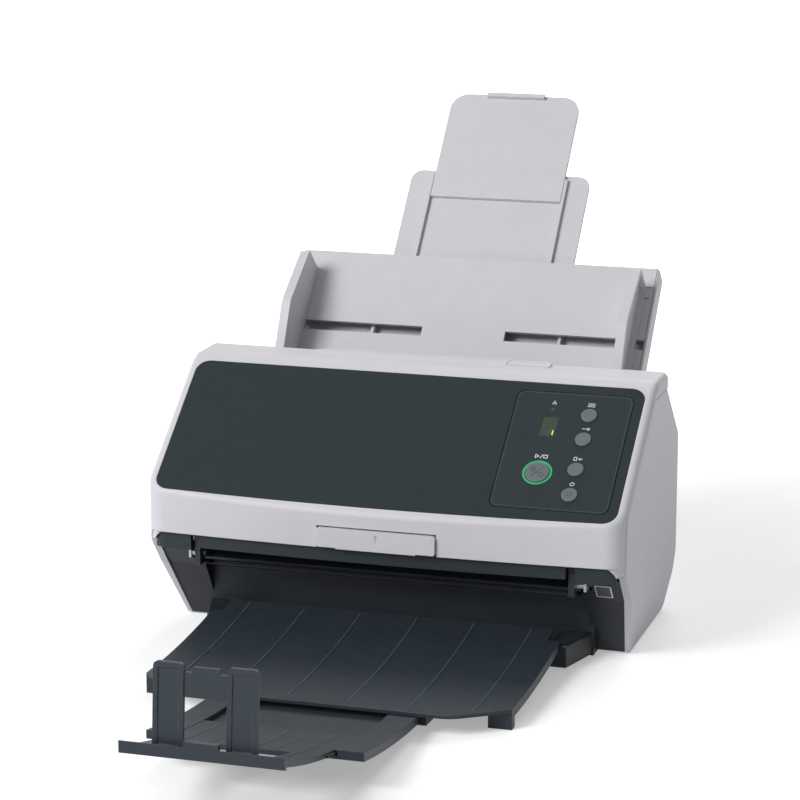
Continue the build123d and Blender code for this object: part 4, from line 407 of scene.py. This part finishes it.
glass, tree, shader = started("scan_window_glass")
wiped = placed(tree, smeared)
shader.inputs["Transmission Weight"].default_value = 1.0
shader.inputs["IOR"].default_value = 1.5
tree.links.new(ranged(tree, wiped["Mask"], 0.01, 0.08), shader.inputs["Roughness"])
glass_tint = blended(tree, wiped["Mask"], (0.93, 0.97, 0.95), (0.82, 0.88, 0.86))
tree.links.new(glass_tint, shader.inputs["Base Color"])
dress(glass, "lower_scan_glass", "upper_scan_glass")

# Drive: two can motors, the driven shafts with their gears and tyres, the idler gear and both pinions.
# The shafts are ground steel, the gears white acetal, and the tyres soft dark rubber with a fine tread.
can_steel = metal("can_steel", (0.4, 0.41, 0.43), 0.35, along=(40.0, 500.0, 500.0))
dress(can_steel, "feed_motor", "pick_motor")

SHAFT_COLOUR = (0.58, 0.58, 0.59)
GEAR_COLOUR = (0.7, 0.69, 0.64)
TYRE_COLOUR = (0.05, 0.055, 0.06)
# Distances from the middle plane: where the gears begin, a place past the shafts' ends, and where the
# tyres begin and end.
GEAR_START = 0.1279
SHAFT_END = 0.2
PICK_TYRE = (0.008, 0.028)
FEED_TYRE = (0.032, 0.054)


def x_between(tree, start, end):
    """One where the distance from the middle plane lies between start and end."""
    split = tree.nodes.new("ShaderNodeSeparateXYZ")
    tree.links.new(tree.nodes.new("ShaderNodeTexCoord").outputs["Object"], split.inputs[0])
    away = math_node(tree, "ABSOLUTE", split.outputs["X"])
    above = math_node(tree, "GREATER_THAN", away, start)
    below = math_node(tree, "LESS_THAN", away, end)
    return math_node(tree, "MULTIPLY", above, below)


def shaft_with(name, start, end, colour, gloss):
    """Ground steel shaft that carries another material between two places along it."""
    material, tree, shader = started(name)
    fitted = x_between(tree, start, end)
    lines = placed(tree, brushed_metal, **{"Along X": 2400.0, "Along Y": 80.0, "Along Z": 80.0})
    skin = placed(tree, moulded_grain, Grain=2400.0)
    edges = placed(tree, handled_edges, Radius=0.0002)
    steel = blended(tree, lines["Tone"], shaded(SHAFT_COLOUR, 0.85), shaded(SHAFT_COLOUR, 1.1))
    other = blended(tree, skin["Tone"], shaded(colour, 0.88), shaded(colour, 1.1))
    tree.links.new(blended(tree, fitted, steel, other), shader.inputs["Base Color"])
    tree.links.new(math_node(tree, "SUBTRACT", 1.0, fitted), shader.inputs["Metallic"])
    ground = ranged(tree, lines["Tone"], 0.16, 0.32)
    rough = math_node(tree, "ADD", ground, math_node(tree, "MULTIPLY", fitted, gloss))
    tree.links.new(rough, shader.inputs["Roughness"])
    tree.links.new(bumped(tree, lines["Height"], 0.00001, edges["Rounded"]), shader.inputs["Normal"])
    return material


geared_shaft = shaft_with("geared_shaft", GEAR_START, SHAFT_END, GEAR_COLOUR, 0.2)
dress(geared_shaft, "pick_shaft", "feed_shaft", "exit_shaft")
gear_acetal = moulded("gear_acetal", GEAR_COLOUR, 0.4, grain=2600.0, depth=0.00001, edge_wear_and_highlight=0.1, dust=0.0,
                      radius=0.0002)
dress(gear_acetal, "idler_gear", "feed_pinion", "pick_pinion")


def treaded_rubber(name, colour):
    """Soft rubber with a fine tread across the tyre, paler where the paper polishes it."""
    material, tree, shader = started(name)
    skin = placed(tree, moulded_grain, Grain=2000.0)
    tread = placed(tree, brushed_metal, **{"Along X": 1600.0, "Along Y": 300.0, "Along Z": 300.0})
    edges = placed(tree, handled_edges, Radius=0.0003)
    tone = blended(tree, tread["Tone"], shaded(colour, 0.8), shaded(colour, 1.25))
    worn = blended(tree, math_node(tree, "MULTIPLY", edges["Mask"], 0.4), tone, shaded(colour, 2.4))
    tree.links.new(worn, shader.inputs["Base Color"])
    tree.links.new(ranged(tree, skin["Tone"], 0.62, 0.82), shader.inputs["Roughness"])
    tree.links.new(bumped(tree, tread["Height"], 0.00006, edges["Rounded"]), shader.inputs["Normal"])
    return material


tyre_rubber = treaded_rubber("tyre_rubber", TYRE_COLOUR)
dress(tyre_rubber, "pick_tyres", "feed_tyres", "exit_tyres")

# Main board with its sockets behind the rear cover: green lacquered glass laminate with copper runs,
# a moulded power inlet, a plated USB shell and a network socket.
LACQUER = (0.015, 0.12, 0.05)
COPPER_RUN = (0.035, 0.2, 0.085)


def board_laminate(name, across, up):
    """Solder mask over copper runs, drawn as a brick pattern on the two given axes."""
    material, tree, shader = started(name)
    split = tree.nodes.new("ShaderNodeSeparateXYZ")
    tree.links.new(tree.nodes.new("ShaderNodeTexCoord").outputs["Object"], split.inputs[0])
    flat = tree.nodes.new("ShaderNodeCombineXYZ")
    tree.links.new(split.outputs[across], flat.inputs["X"])
    tree.links.new(split.outputs[up], flat.inputs["Y"])
    runs = tree.nodes.new("ShaderNodeTexBrick")
    runs.inputs["Scale"].default_value = 260.0
    runs.inputs["Mortar Size"].default_value = 0.06
    tree.links.new(flat.outputs[0], runs.inputs["Vector"])
    skin = placed(tree, moulded_grain, Grain=700.0)
    edges = placed(tree, handled_edges, Radius=0.0002)
    lacquer = blended(tree, skin["Tone"], shaded(LACQUER, 0.8), shaded(LACQUER, 1.2))
    tree.links.new(blended(tree, runs.outputs["Fac"], lacquer, COPPER_RUN), shader.inputs["Base Color"])
    tree.links.new(ranged(tree, skin["Tone"], 0.22, 0.4), shader.inputs["Roughness"])
    tree.links.new(bumped(tree, runs.outputs["Fac"], 0.00003, edges["Rounded"]), shader.inputs["Normal"])
    return material


dress(board_laminate("main_board_laminate", "X", "Z"), "main_board")
socket_plastic = moulded("socket_plastic", (0.02, 0.02, 0.022), 0.42, grain=2000.0, depth=0.00002)
dress(socket_plastic, "dc_inlet")
socket_shell = metal("socket_shell", (0.58, 0.58, 0.6), 0.3, along=(300.0, 40.0, 300.0))
dress(socket_shell, "usb_socket", "lan_socket")

# Housing: two side covers that wrap the rear corners and the rear cover between them. They are one pale
# grey ABS, moulded with a fine eroded grain, and hook into each other along the joints.
CASING_COLOUR = (0.61, 0.605, 0.645)
casing_plastic = moulded("casing_plastic", CASING_COLOUR, 0.5, edge_wear_and_highlight=0.25, dust=0.06, radius=0.0006)
dress(casing_plastic, "right_side_cover", "left_side_cover", "rear_cover")

# Front frame: the dark moulding round the exit, with the jambs and the ears that carry the stacker. A
# rating plate sticks on its right jamb: silver foil with a bare field of dark film.
frame_plastic = moulded("frame_plastic", (0.014, 0.018, 0.023), 0.45, grain=1500.0, edge_wear_and_highlight=0.3, dust=0.008)
dress(frame_plastic, "front_frame")

# The housing's front foot lies this far before its rear wall. Places on the front are told from it.
HOUSING_DEPTH = 0.113
foot_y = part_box("rear_cover")[1].y - HOUSING_DEPTH
JAMB_KNEE = (foot_y - 0.0246, 0.041)
JAMB_TOP = (foot_y - 0.039, 0.0571)
PLATE_X = 0.1338
PLATE_WIDTH = 0.0102
PLATE_HEIGHT = 0.0124
PLATE_UP = 0.0092
PLATE_FILM = 0.00012
PLATE_BORDER = 0.0008
PLATE_CORNER = 0.0006
FIELD_CORNER = 0.0003
FIELD_FILM = 0.00003
jamb_rise = Vector((0, JAMB_TOP[0] - JAMB_KNEE[0], JAMB_TOP[1] - JAMB_KNEE[1])).normalized()
jamb_face = Vector((0, -jamb_rise.z, jamb_rise.y))


def on_jamb(across, up, out):
    """Point of the right jamb's upper face, told from the middle of the rating plate."""
    knee = Vector((PLATE_X, *JAMB_KNEE))
    return knee + Vector((across, 0, 0)) + jamb_rise * (PLATE_UP + up) + jamb_face * out


def finished_piece(name, mesh, material, body):
    """Makes the object of a mesh, dresses it and lets it ride on its body."""
    bmesh.ops.recalc_face_normals(mesh, faces=mesh.faces)
    data = bpy.data.meshes.new(name)
    mesh.to_mesh(data)
    mesh.free()
    piece = bpy.data.objects.new(name, data)
    bpy.context.scene.collection.objects.link(piece)
    data.materials.append(material)
    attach(piece, body)
    return piece


def arc(across, up, radius, start, end, steps=20):
    """Points of an arc between two angles in degrees."""
    angles = [radians(start + (end - start) * i / steps) for i in range(steps + 1)]
    return [(across + radius * cos(a), up + radius * sin(a)) for a in angles]


def rounded_outline(width, height, radius):
    """Points of a rectangle with round corners about the origin."""
    x = width / 2 - radius
    y = height / 2 - radius
    corners = ((x, y, 0), (-x, y, 90), (-x, -y, 180), (x, -y, 270))
    return [point for a, b, turn in corners for point in arc(a, b, radius, turn, turn + 90, 6)]


def thin_film(name, outline, place, low, high, material, body):
    """A flat sticker or inlay of the given outline, from low to high over its surface."""
    mesh = bmesh.new()
    bottom = [mesh.verts.new(place(*point, low)) for point in outline]
    top = [mesh.verts.new(place(*point, high)) for point in outline]
    mesh.faces.new(bottom)
    mesh.faces.new(top)
    for i in range(len(outline)):
        mesh.faces.new((bottom[i - 1], bottom[i], top[i], top[i - 1]))
    return finished_piece(name, mesh, material, body)


def printed(name, colour, gloss, grain=2600.0):
    """Printed or inlaid colour: hardly any grain, and no wear or dust of its own."""
    return moulded(name, colour, gloss, grain=grain, depth=0.00001, edge_wear_and_highlight=0.0, dust=0.0)


silver_foil = metal("silver_foil", (0.62, 0.63, 0.64), 0.38, along=(120.0, 500.0, 500.0), depth=0.000005)
dark_film = printed("dark_film", (0.05, 0.056, 0.064), 0.3, grain=3000.0)
plate_outline = rounded_outline(PLATE_WIDTH, PLATE_HEIGHT, PLATE_CORNER)
field_width = PLATE_WIDTH - 2 * PLATE_BORDER
field_outline = rounded_outline(field_width, PLATE_HEIGHT - 2 * PLATE_BORDER, FIELD_CORNER)
thin_film("rating_plate", plate_outline, on_jamb, 0.0, PLATE_FILM, silver_foil, "base")
thin_film("rating_plate_field", field_outline, on_jamb, PLATE_FILM, PLATE_FILM + FIELD_FILM, dark_film,
          "base")

# Top cover: pale moulding round the dark front panel. The ledge behind the panel, the rim and the front
# band are one piece, hinged at the rear, with the dark chassis and its lintel screwed inside.
dress(casing_plastic, "top_cover_shell")
PANEL_COLOUR = (0.012, 0.021, 0.025)
panel_plastic = moulded("panel_plastic", PANEL_COLOUR, 0.5, grain=1300.0, edge_wear_and_highlight=0.2, dust=0.005,
                        sheen=0.2)
dress(panel_plastic, "front_panel")
chassis_plastic = moulded("chassis_plastic", (0.022, 0.03, 0.034), 0.48, edge_wear_and_highlight=0.2, dust=0.005, sheen=0.25)
dress(chassis_plastic, "upper_chassis")

# The ledge falls to both sides of a ridge, and a cap is let into it behind the panel's right half.
LEDGE_RIDGE = (0.062, 0.163)
LEDGE_FRONT_RISE = 0.111
LEDGE_REAR_FALL = 0.118
CAP_SEAM = ((0.0795, 0.0562), (0.0493, 0.0562), (0.0493, 0.0719))
CAP_SEAM_WIDTH = 0.00035
INLAY_THICK = 0.00004


def drawn_edges(points, width, closed):
    """Left and right edge of a drawn line, mitred at its corners."""
    left = []
    right = []
    count = len(points)
    for i, (x, y) in enumerate(points):
        before = points[i - 1] if closed or i else None
        after = points[(i + 1) % count] if closed or i < count - 1 else None
        first = (x - before[0], y - before[1]) if before else (after[0] - x, after[1] - y)
        second = (after[0] - x, after[1] - y) if after else first
        first = (first[0] / hypot(*first), first[1] / hypot(*first))
        second = (second[0] / hypot(*second), second[1] / hypot(*second))
        sum_x = -first[1] - second[1]
        sum_y = first[0] + second[0]
        reach = width / max(sum_x**2 + sum_y**2, 1.0)
        left.append((x + sum_x * reach, y + sum_y * reach))
        right.append((x - sum_x * reach, y - sum_y * reach))
    return left, right


def drawn_sign(name, lines, width, place, thick, material, body):
    """A thin printed or moulded sign of drawn lines. place turns (across, up, out) into a point."""
    mesh = bmesh.new()
    for points, closed in lines:
        left, right = drawn_edges(points, width, closed)
        rings = []
        for a, b in zip(left, right):
            corners = [place(*a, 0), place(*b, 0), place(*b, thick), place(*a, thick)]
            rings.append([mesh.verts.new(corner) for corner in corners])
        pairs = list(zip(rings, rings[1:]))
        if closed:
            pairs.append((rings[-1], rings[0]))
        else:
            mesh.faces.new(rings[0])
            mesh.faces.new(rings[-1])
        for first, second in pairs:
            for k in range(4):
                mesh.faces.new((first[k], first[k - 1], second[k - 1], second[k]))
    return finished_piece(name, mesh, material, body)


def on_ledge(x, y, out):
    """Point of the ledge behind the panel, y told from the housing's front foot."""
    behind = y - LEDGE_RIDGE[0]
    slope = -LEDGE_REAR_FALL if behind > 0 else LEDGE_FRONT_RISE
    return Vector((x, foot_y + y, LEDGE_RIDGE[1] + behind * slope + out))


# The cap's seam is a thin dark line laid on the ledge: a painted shadow of the groove.
seam_shadow = printed("seam_shadow", (0.2, 0.2, 0.215), 0.7)
ridge_point = (CAP_SEAM[2][0], LEDGE_RIDGE[0])
cap_seam = [([*CAP_SEAM[:2], ridge_point, CAP_SEAM[2]], False)]
drawn_sign("ledge_cap_seam", cap_seam, CAP_SEAM_WIDTH, on_ledge, INLAY_THICK, seam_shadow,
           "top_cover")

# Rollers of the top cover: the soft brake roller that holds back a second sheet, and two idler shafts
# that press the sheet on the driven rollers. All three are made like the driven ones.
brake_shaft = shaft_with("brake_shaft", *PICK_TYRE, (0.11, 0.12, 0.14), 0.45)
dress(brake_shaft, "brake_roller")
idler_shafts = shaft_with("idler_shafts", *FEED_TYRE, (0.5, 0.5, 0.48), 0.3)
dress(idler_shafts, "feed_idlers", "exit_idlers")

# Latch: the pale release tab in the front band, hung on two stubs, and the dark acetal bar with a hook
# at each end that it turns. An arrow is moulded on the tab where the finger presses.
dress(casing_plastic, "release_tab")
latch_acetal = moulded("latch_acetal", (0.026, 0.029, 0.033), 0.3, grain=2200.0, depth=0.00001, edge_wear_and_highlight=0.5,
                       dust=0.0)
dress(latch_acetal, "latch_bar")
TAB_FACE_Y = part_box("release_tab")[0].y
ARROW_Z = 0.0742
ARROW_LENGTH = 0.0046
ARROW_STEM = 0.0044
ARROW_HEAD = 0.0014
ARROW_RAISED = 0.0002
ARROW_LINE = 0.0005


def on_tab(across, up, out):
    """Point of the tab's front face, told from the arrow's foot."""
    return Vector((across, TAB_FACE_Y - out, ARROW_Z + up))


barb_up = ARROW_LENGTH - ARROW_HEAD
arrow_head = [(-ARROW_HEAD, barb_up), (0, ARROW_LENGTH), (ARROW_HEAD, barb_up)]
arrow = [([(0, 0), (0, ARROW_STEM)], False), (arrow_head, False)]
drawn_sign("release_arrow", arrow, ARROW_LINE, on_tab, ARROW_RAISED, casing_plastic,
           "release_tab")

# Operator panel: a dark plate let into the front panel, with its board, display, lamp and lit ring.
# The grey keys are dished caps. Their signs are printed on the plate in pale ink.
PANEL_SLOPE = radians(37.6)
PANEL_EDGE = Vector((0, foot_y + 0.0307, 0.1585))
bezel_plastic = moulded("bezel_plastic", (0.014, 0.023, 0.028), 0.48, grain=1500.0, edge_wear_and_highlight=0.4, dust=0.005,
                        sheen=0.22)
dress(bezel_plastic, "operator_bezel")
dress(board_laminate("panel_board_laminate", "X", "Y"), "panel_board")
KEY_COLOUR = (0.13, 0.152, 0.165)
key_plastic = moulded("key_plastic", KEY_COLOUR, 0.42, grain=1800.0, depth=0.00003, edge_wear_and_highlight=0.4, dust=0.01)
KEYS = ("function_button", "send_button", "manual_feed_button", "power_button", "scan_stop_button")
dress(key_plastic, *KEYS)


def on_panel(x, down, out):
    """Point at x, the given distance down the panel's slope and out from it."""
    return PANEL_EDGE + Vector((x, -down * cos(PANEL_SLOPE) - out * sin(PANEL_SLOPE),
                                -down * sin(PANEL_SLOPE) + out * cos(PANEL_SLOPE)))


edge_line = printed("bezel_edge_line", (0.075, 0.09, 0.1), 0.4)
bezel_low, bezel_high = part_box("operator_bezel")
BEZEL_DOWN = (0.007, 0.0965)
EDGE_LINE_IN = 0.0009
EDGE_LINE_WIDTH = 0.00028
EDGE_LINE_CORNER = 0.0041
line_width = bezel_high.x - bezel_low.x - 2 * EDGE_LINE_IN
line_height = BEZEL_DOWN[1] - BEZEL_DOWN[0] - 2 * EDGE_LINE_IN
line_middle = ((bezel_low.x + bezel_high.x) / 2, sum(BEZEL_DOWN) / 2)


def on_bezel(across, up, out):
    """Point of the plate, told from its middle."""
    return on_panel(line_middle[0] + across, line_middle[1] - up, out)


edge_lines = [(rounded_outline(line_width, line_height, EDGE_LINE_CORNER), True)]
drawn_sign("bezel_edge_line", edge_lines, EDGE_LINE_WIDTH, on_bezel, INLAY_THICK, edge_line,
           "top_cover")

ink = printed("pale_ink", (0.8, 0.82, 0.84), 0.5, grain=3000.0)
SIGN_LINE = 0.00046


def plate_sign(name, x, down, lines, width=SIGN_LINE):
    """A sign printed on the operator plate round the given place."""
    def place(across, up, out):
        return on_panel(x + across, down - up, out)
    return drawn_sign(name, lines, width, place, INLAY_THICK, ink, "top_cover")


# Places of the keys, the display and the lamp on the plate, and the signs over them.
KEY_X = 0.1132
KEY_SIGN_RISE = 0.0083
FUNCTION_DOWN = 0.0236
SEND_DOWN = 0.0421
FEED_DOWN = 0.0653
POWER_DOWN = 0.0844
SCAN_X = 0.0906
SCAN_DOWN = 0.0695
LAMP_X = 0.0902
LAMP_DOWN = 0.0209
SCAN_SIGN_RISE = 0.0125
LAMP_SIGN_RISE = 0.0058
THIN_LINE = 0.00032
mm = 0.001

list_sign = [([(-2.3 * mm, y * mm), (2.3 * mm, y * mm)], False) for y in (1.15, 0, -1.15)]
plate_sign("function_sign", KEY_X, FUNCTION_DOWN - KEY_SIGN_RISE, list_sign)
arrow_sign = [([(-2.4 * mm, 0), (2.2 * mm, 0)], False),
              ([(1.1 * mm, 1.1 * mm), (2.3 * mm, 0), (1.1 * mm, -1.1 * mm)], False)]
plate_sign("send_sign", KEY_X, SEND_DOWN - KEY_SIGN_RISE, arrow_sign)
sheet = [(-2.6 * mm, -1.1 * mm), (-2.6 * mm, 1.2 * mm), (-0.9 * mm, 1.2 * mm), (-0.9 * mm, -1.1 * mm)]
sheet_sign = [(sheet, True),
              ([(0.3 * mm, 0), (2.6 * mm, 0)], False),
              ([(1.2 * mm, 0.9 * mm), (0.3 * mm, 0), (1.2 * mm, -0.9 * mm)], False)]
plate_sign("manual_feed_sign", KEY_X, FEED_DOWN - KEY_SIGN_RISE, sheet_sign)
power_sign = [(arc(0, 0, 1.2 * mm, 125, 415), False), ([(0, 0.4 * mm), (0, 1.6 * mm)], False)]
plate_sign("power_sign", KEY_X, POWER_DOWN - KEY_SIGN_RISE, power_sign)
stop_square = [(1.4 * mm, -1.1 * mm), (1.4 * mm, 1.1 * mm), (3.6 * mm, 1.1 * mm), (3.6 * mm, -1.1 * mm)]
scan_sign = [([(-3.7 * mm, -1.3 * mm), (-3.7 * mm, 1.3 * mm), (-1.5 * mm, 0)], True),
             ([(-0.7 * mm, -1.6 * mm), (0.7 * mm, 1.6 * mm)], False),
             (stop_square, True)]
plate_sign("scan_stop_sign", SCAN_X, SCAN_DOWN - SCAN_SIGN_RISE, scan_sign)
lamp_sign = [([(-1.3 * mm, -1.0 * mm), (0, 1.2 * mm), (1.3 * mm, -1.0 * mm)], True),
             ([(0, 0.5 * mm), (0, -0.2 * mm)], False), ([(0, -0.5 * mm), (0, -0.75 * mm)], False)]
plate_sign("check_sign", LAMP_X, LAMP_DOWN - LAMP_SIGN_RISE, lamp_sign, width=THIN_LINE)

KEY_TOP = 0.001
engraved = printed("engraved_key_line", (0.05, 0.06, 0.068), 0.5)


def key_sign(name, x, down, lines, key, width):
    """A sign on a key's cap."""
    def place(across, up, out):
        return on_panel(x + across, down - up, KEY_TOP + out)
    return drawn_sign(name, lines, width, place, INLAY_THICK, engraved, key)


power_mark = [(arc(0, 0, 1.5 * mm, 125, 415), False), ([(0, 0.5 * mm), (0, 2.0 * mm)], False)]
key_sign("power_key_sign", KEY_X, POWER_DOWN, power_mark, "power_button", 0.3 * mm)
start_mark = [(-4.3 * mm, 1.9 * mm), (-2.6 * mm, 3.6 * mm), (-0.9 * mm, 1.9 * mm), (-2.6 * mm, 0.2 * mm)]
scan_marks = [(start_mark, True),
              ([(-2.6 * mm, 1.2 * mm), (-2.6 * mm, 2.6 * mm)], False),
              ([(-3.2 * mm, -3.6 * mm), (3.2 * mm, 3.6 * mm)], False),
              (arc(2.6 * mm, -1.9 * mm, 1.5 * mm, 0, 342, 19), True)]
key_sign("scan_key_sign", SCAN_X, SCAN_DOWN, scan_marks, "scan_stop_button", 0.42 * mm)

RING_COLOUR = (0.02, 0.38, 0.15)
ring_glow, tree, shader = started("ring_light")
skin = placed(tree, moulded_grain, Grain=900.0, Patches=60.0)
edges = placed(tree, handled_edges, Radius=0.0003)
ring_tone = blended(tree, skin["Tone"], shaded(RING_COLOUR, 0.75), shaded(RING_COLOUR, 1.2))
ring_shine = blended(tree, skin["Tone"], shaded(RING_COLOUR, 0.7), shaded(RING_COLOUR, 1.3))
tree.links.new(ring_tone, shader.inputs["Base Color"])
tree.links.new(ring_shine, shader.inputs["Emission Color"])
shader.inputs["Emission Strength"].default_value = 0.1
tree.links.new(ranged(tree, skin["Tone"], 0.2, 0.34), shader.inputs["Roughness"])
tree.links.new(bumped(tree, skin["Height"], 0.00002, edges["Rounded"]), shader.inputs["Normal"])
dress(ring_glow, "scan_light_ring")

lamp_lens, tree, shader = started("lamp_lens")
skin = placed(tree, moulded_grain, Grain=1200.0)
edges = placed(tree, handled_edges, Radius=0.0003)
lens_tone = blended(tree, skin["Tone"], (0.02, 0.018, 0.016), (0.05, 0.04, 0.03))
tree.links.new(lens_tone, shader.inputs["Base Color"])
tree.links.new(ranged(tree, skin["Tone"], 0.12, 0.2), shader.inputs["Roughness"])
tree.links.new(bumped(tree, skin["Height"], 0.00001, edges["Rounded"]), shader.inputs["Normal"])
dress(lamp_lens, "check_lamp")

display_glass, tree, shader = started("display_glass")
wiped = placed(tree, smeared, Marks=60.0)
edges = placed(tree, handled_edges, Radius=0.0003)
display_tone = blended(tree, wiped["Mask"], (0.018, 0.034, 0.016), (0.028, 0.046, 0.026))
tree.links.new(display_tone, shader.inputs["Base Color"])
tree.links.new(ranged(tree, wiped["Mask"], 0.12, 0.28), shader.inputs["Roughness"])
tree.links.new(edges["Rounded"], shader.inputs["Normal"])
dress(display_glass, "display_window")

segment_glow, tree, shader = started("segment_light")
skin = placed(tree, moulded_grain, Grain=900.0, Patches=200.0)
segment_tone = blended(tree, skin["Tone"], (0.35, 0.6, 0.05), (0.6, 0.8, 0.1))
segment_shine = blended(tree, skin["Tone"], (0.4, 0.7, 0.03), (0.7, 0.9, 0.1))
tree.links.new(segment_tone, shader.inputs["Base Color"])
tree.links.new(segment_shine, shader.inputs["Emission Color"])
shader.inputs["Emission Strength"].default_value = 0.5
DISPLAY_X = 0.0902
DISPLAY_LOW = 0.041
DISPLAY_SUNK = -0.0002
SEGMENT_WIDTH = 0.0007


def on_display(across, up, out):
    """Point of the window, told from the middle of its lower edge."""
    return on_panel(DISPLAY_X + across, DISPLAY_LOW - up, DISPLAY_SUNK + out)


segment = [([(3.2 * mm, 1.0 * mm), (3.2 * mm, 4.6 * mm)], False)]
drawn_sign("display_segment", segment, SEGMENT_WIDTH, on_display, INLAY_THICK, segment_glow,
           "top_cover")

# Chute: the two halves of the sheet support, its sliding side guides with their rack and pinion, and the
# two pull-out extensions. All are moulded in the casing's grey.
chute_plastic = moulded("chute_plastic", (0.6, 0.6, 0.635), 0.48, grain=1200.0, edge_wear_and_highlight=0.3, dust=0.05)
dress(chute_plastic, "chute_body", "chute_back_cover", "left_side_guide", "right_side_guide",
      "chute_extension_1", "chute_extension_2")
dress(gear_acetal, "guide_pinion")

# Stacker: the curved tray that catches the sheets, with two extensions that slide in it and the flip-up
# stopper at its tip. It is dark blue-grey ABS. Low ribs run along it so that the sheets slide freely.
STACKER_COLOUR = (0.022, 0.031, 0.04)
stacker_plastic = moulded("stacker_plastic", STACKER_COLOUR, 0.46, grain=1300.0, edge_wear_and_highlight=0.45, dust=0.008)
dress(stacker_plastic, "stacker", "stacker_extension_1", "stacker_extension_2", "stopper")
# The ribs are painted lighter than the stacker, partly for the polish of the sliding sheets and partly as
# a painted highlight on their crests.
rib_polish_and_highlight = moulded("rib_polish_and_highlight", shaded(STACKER_COLOUR, 2.4), 0.36, grain=2200.0, edge_wear_and_highlight=0.6, dust=0.0,
                     sheen=0.4)
CURVE_BACK = -0.136
CURVE_Z = 0.691
CURVE_RADIUS = 0.679
TIP_DEPTH = 0.0025
RIB_STEPS = 24


def on_tray(depth):
    """Gives the places of a curved surface that lies so deep under the stacker's own."""
    def place(x, y, out):
        fall = sqrt((CURVE_RADIUS + depth - out) ** 2 - (y - CURVE_BACK) ** 2)
        return Vector((x, foot_y + y, CURVE_Z - fall))
    return place


def tray_ribs(name, places, width, rise, surface, body):
    """Low ribs along the tray. Each place is an x and the two y between which the rib runs."""
    steps = [i / RIB_STEPS for i in range(RIB_STEPS + 1)]
    lines = [([(x, y0 + (y1 - y0) * step) for step in steps], False) for x, y0, y1 in places]
    drawn_sign(name, lines, width, surface, rise, rib_polish_and_highlight, body)


# Width and height of the ribs.
TIP_RIB = (0.0011, 0.00022)
STACKER_RIB = (0.0012, 0.0003)
outer_ribs = [(x, -0.345, -0.231) for x in (-0.033, 0.033)]
inner_ribs = [(x, -0.292, -0.231) for x in (-0.018, -0.0065, 0.0065, 0.018)]
tray_ribs("tip_ribs", outer_ribs + inner_ribs, *TIP_RIB, on_tray(TIP_DEPTH), "stacker_extension_2")
stacker_ribs = [(x, -0.165, -0.03) for x in (-0.09, -0.054, -0.018, 0.018, 0.054, 0.09)]
tray_ribs("stacker_ribs", stacker_ribs, *STACKER_RIB, on_tray(0.0), "stacker")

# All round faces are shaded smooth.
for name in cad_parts:
    smooth_shaded(name)
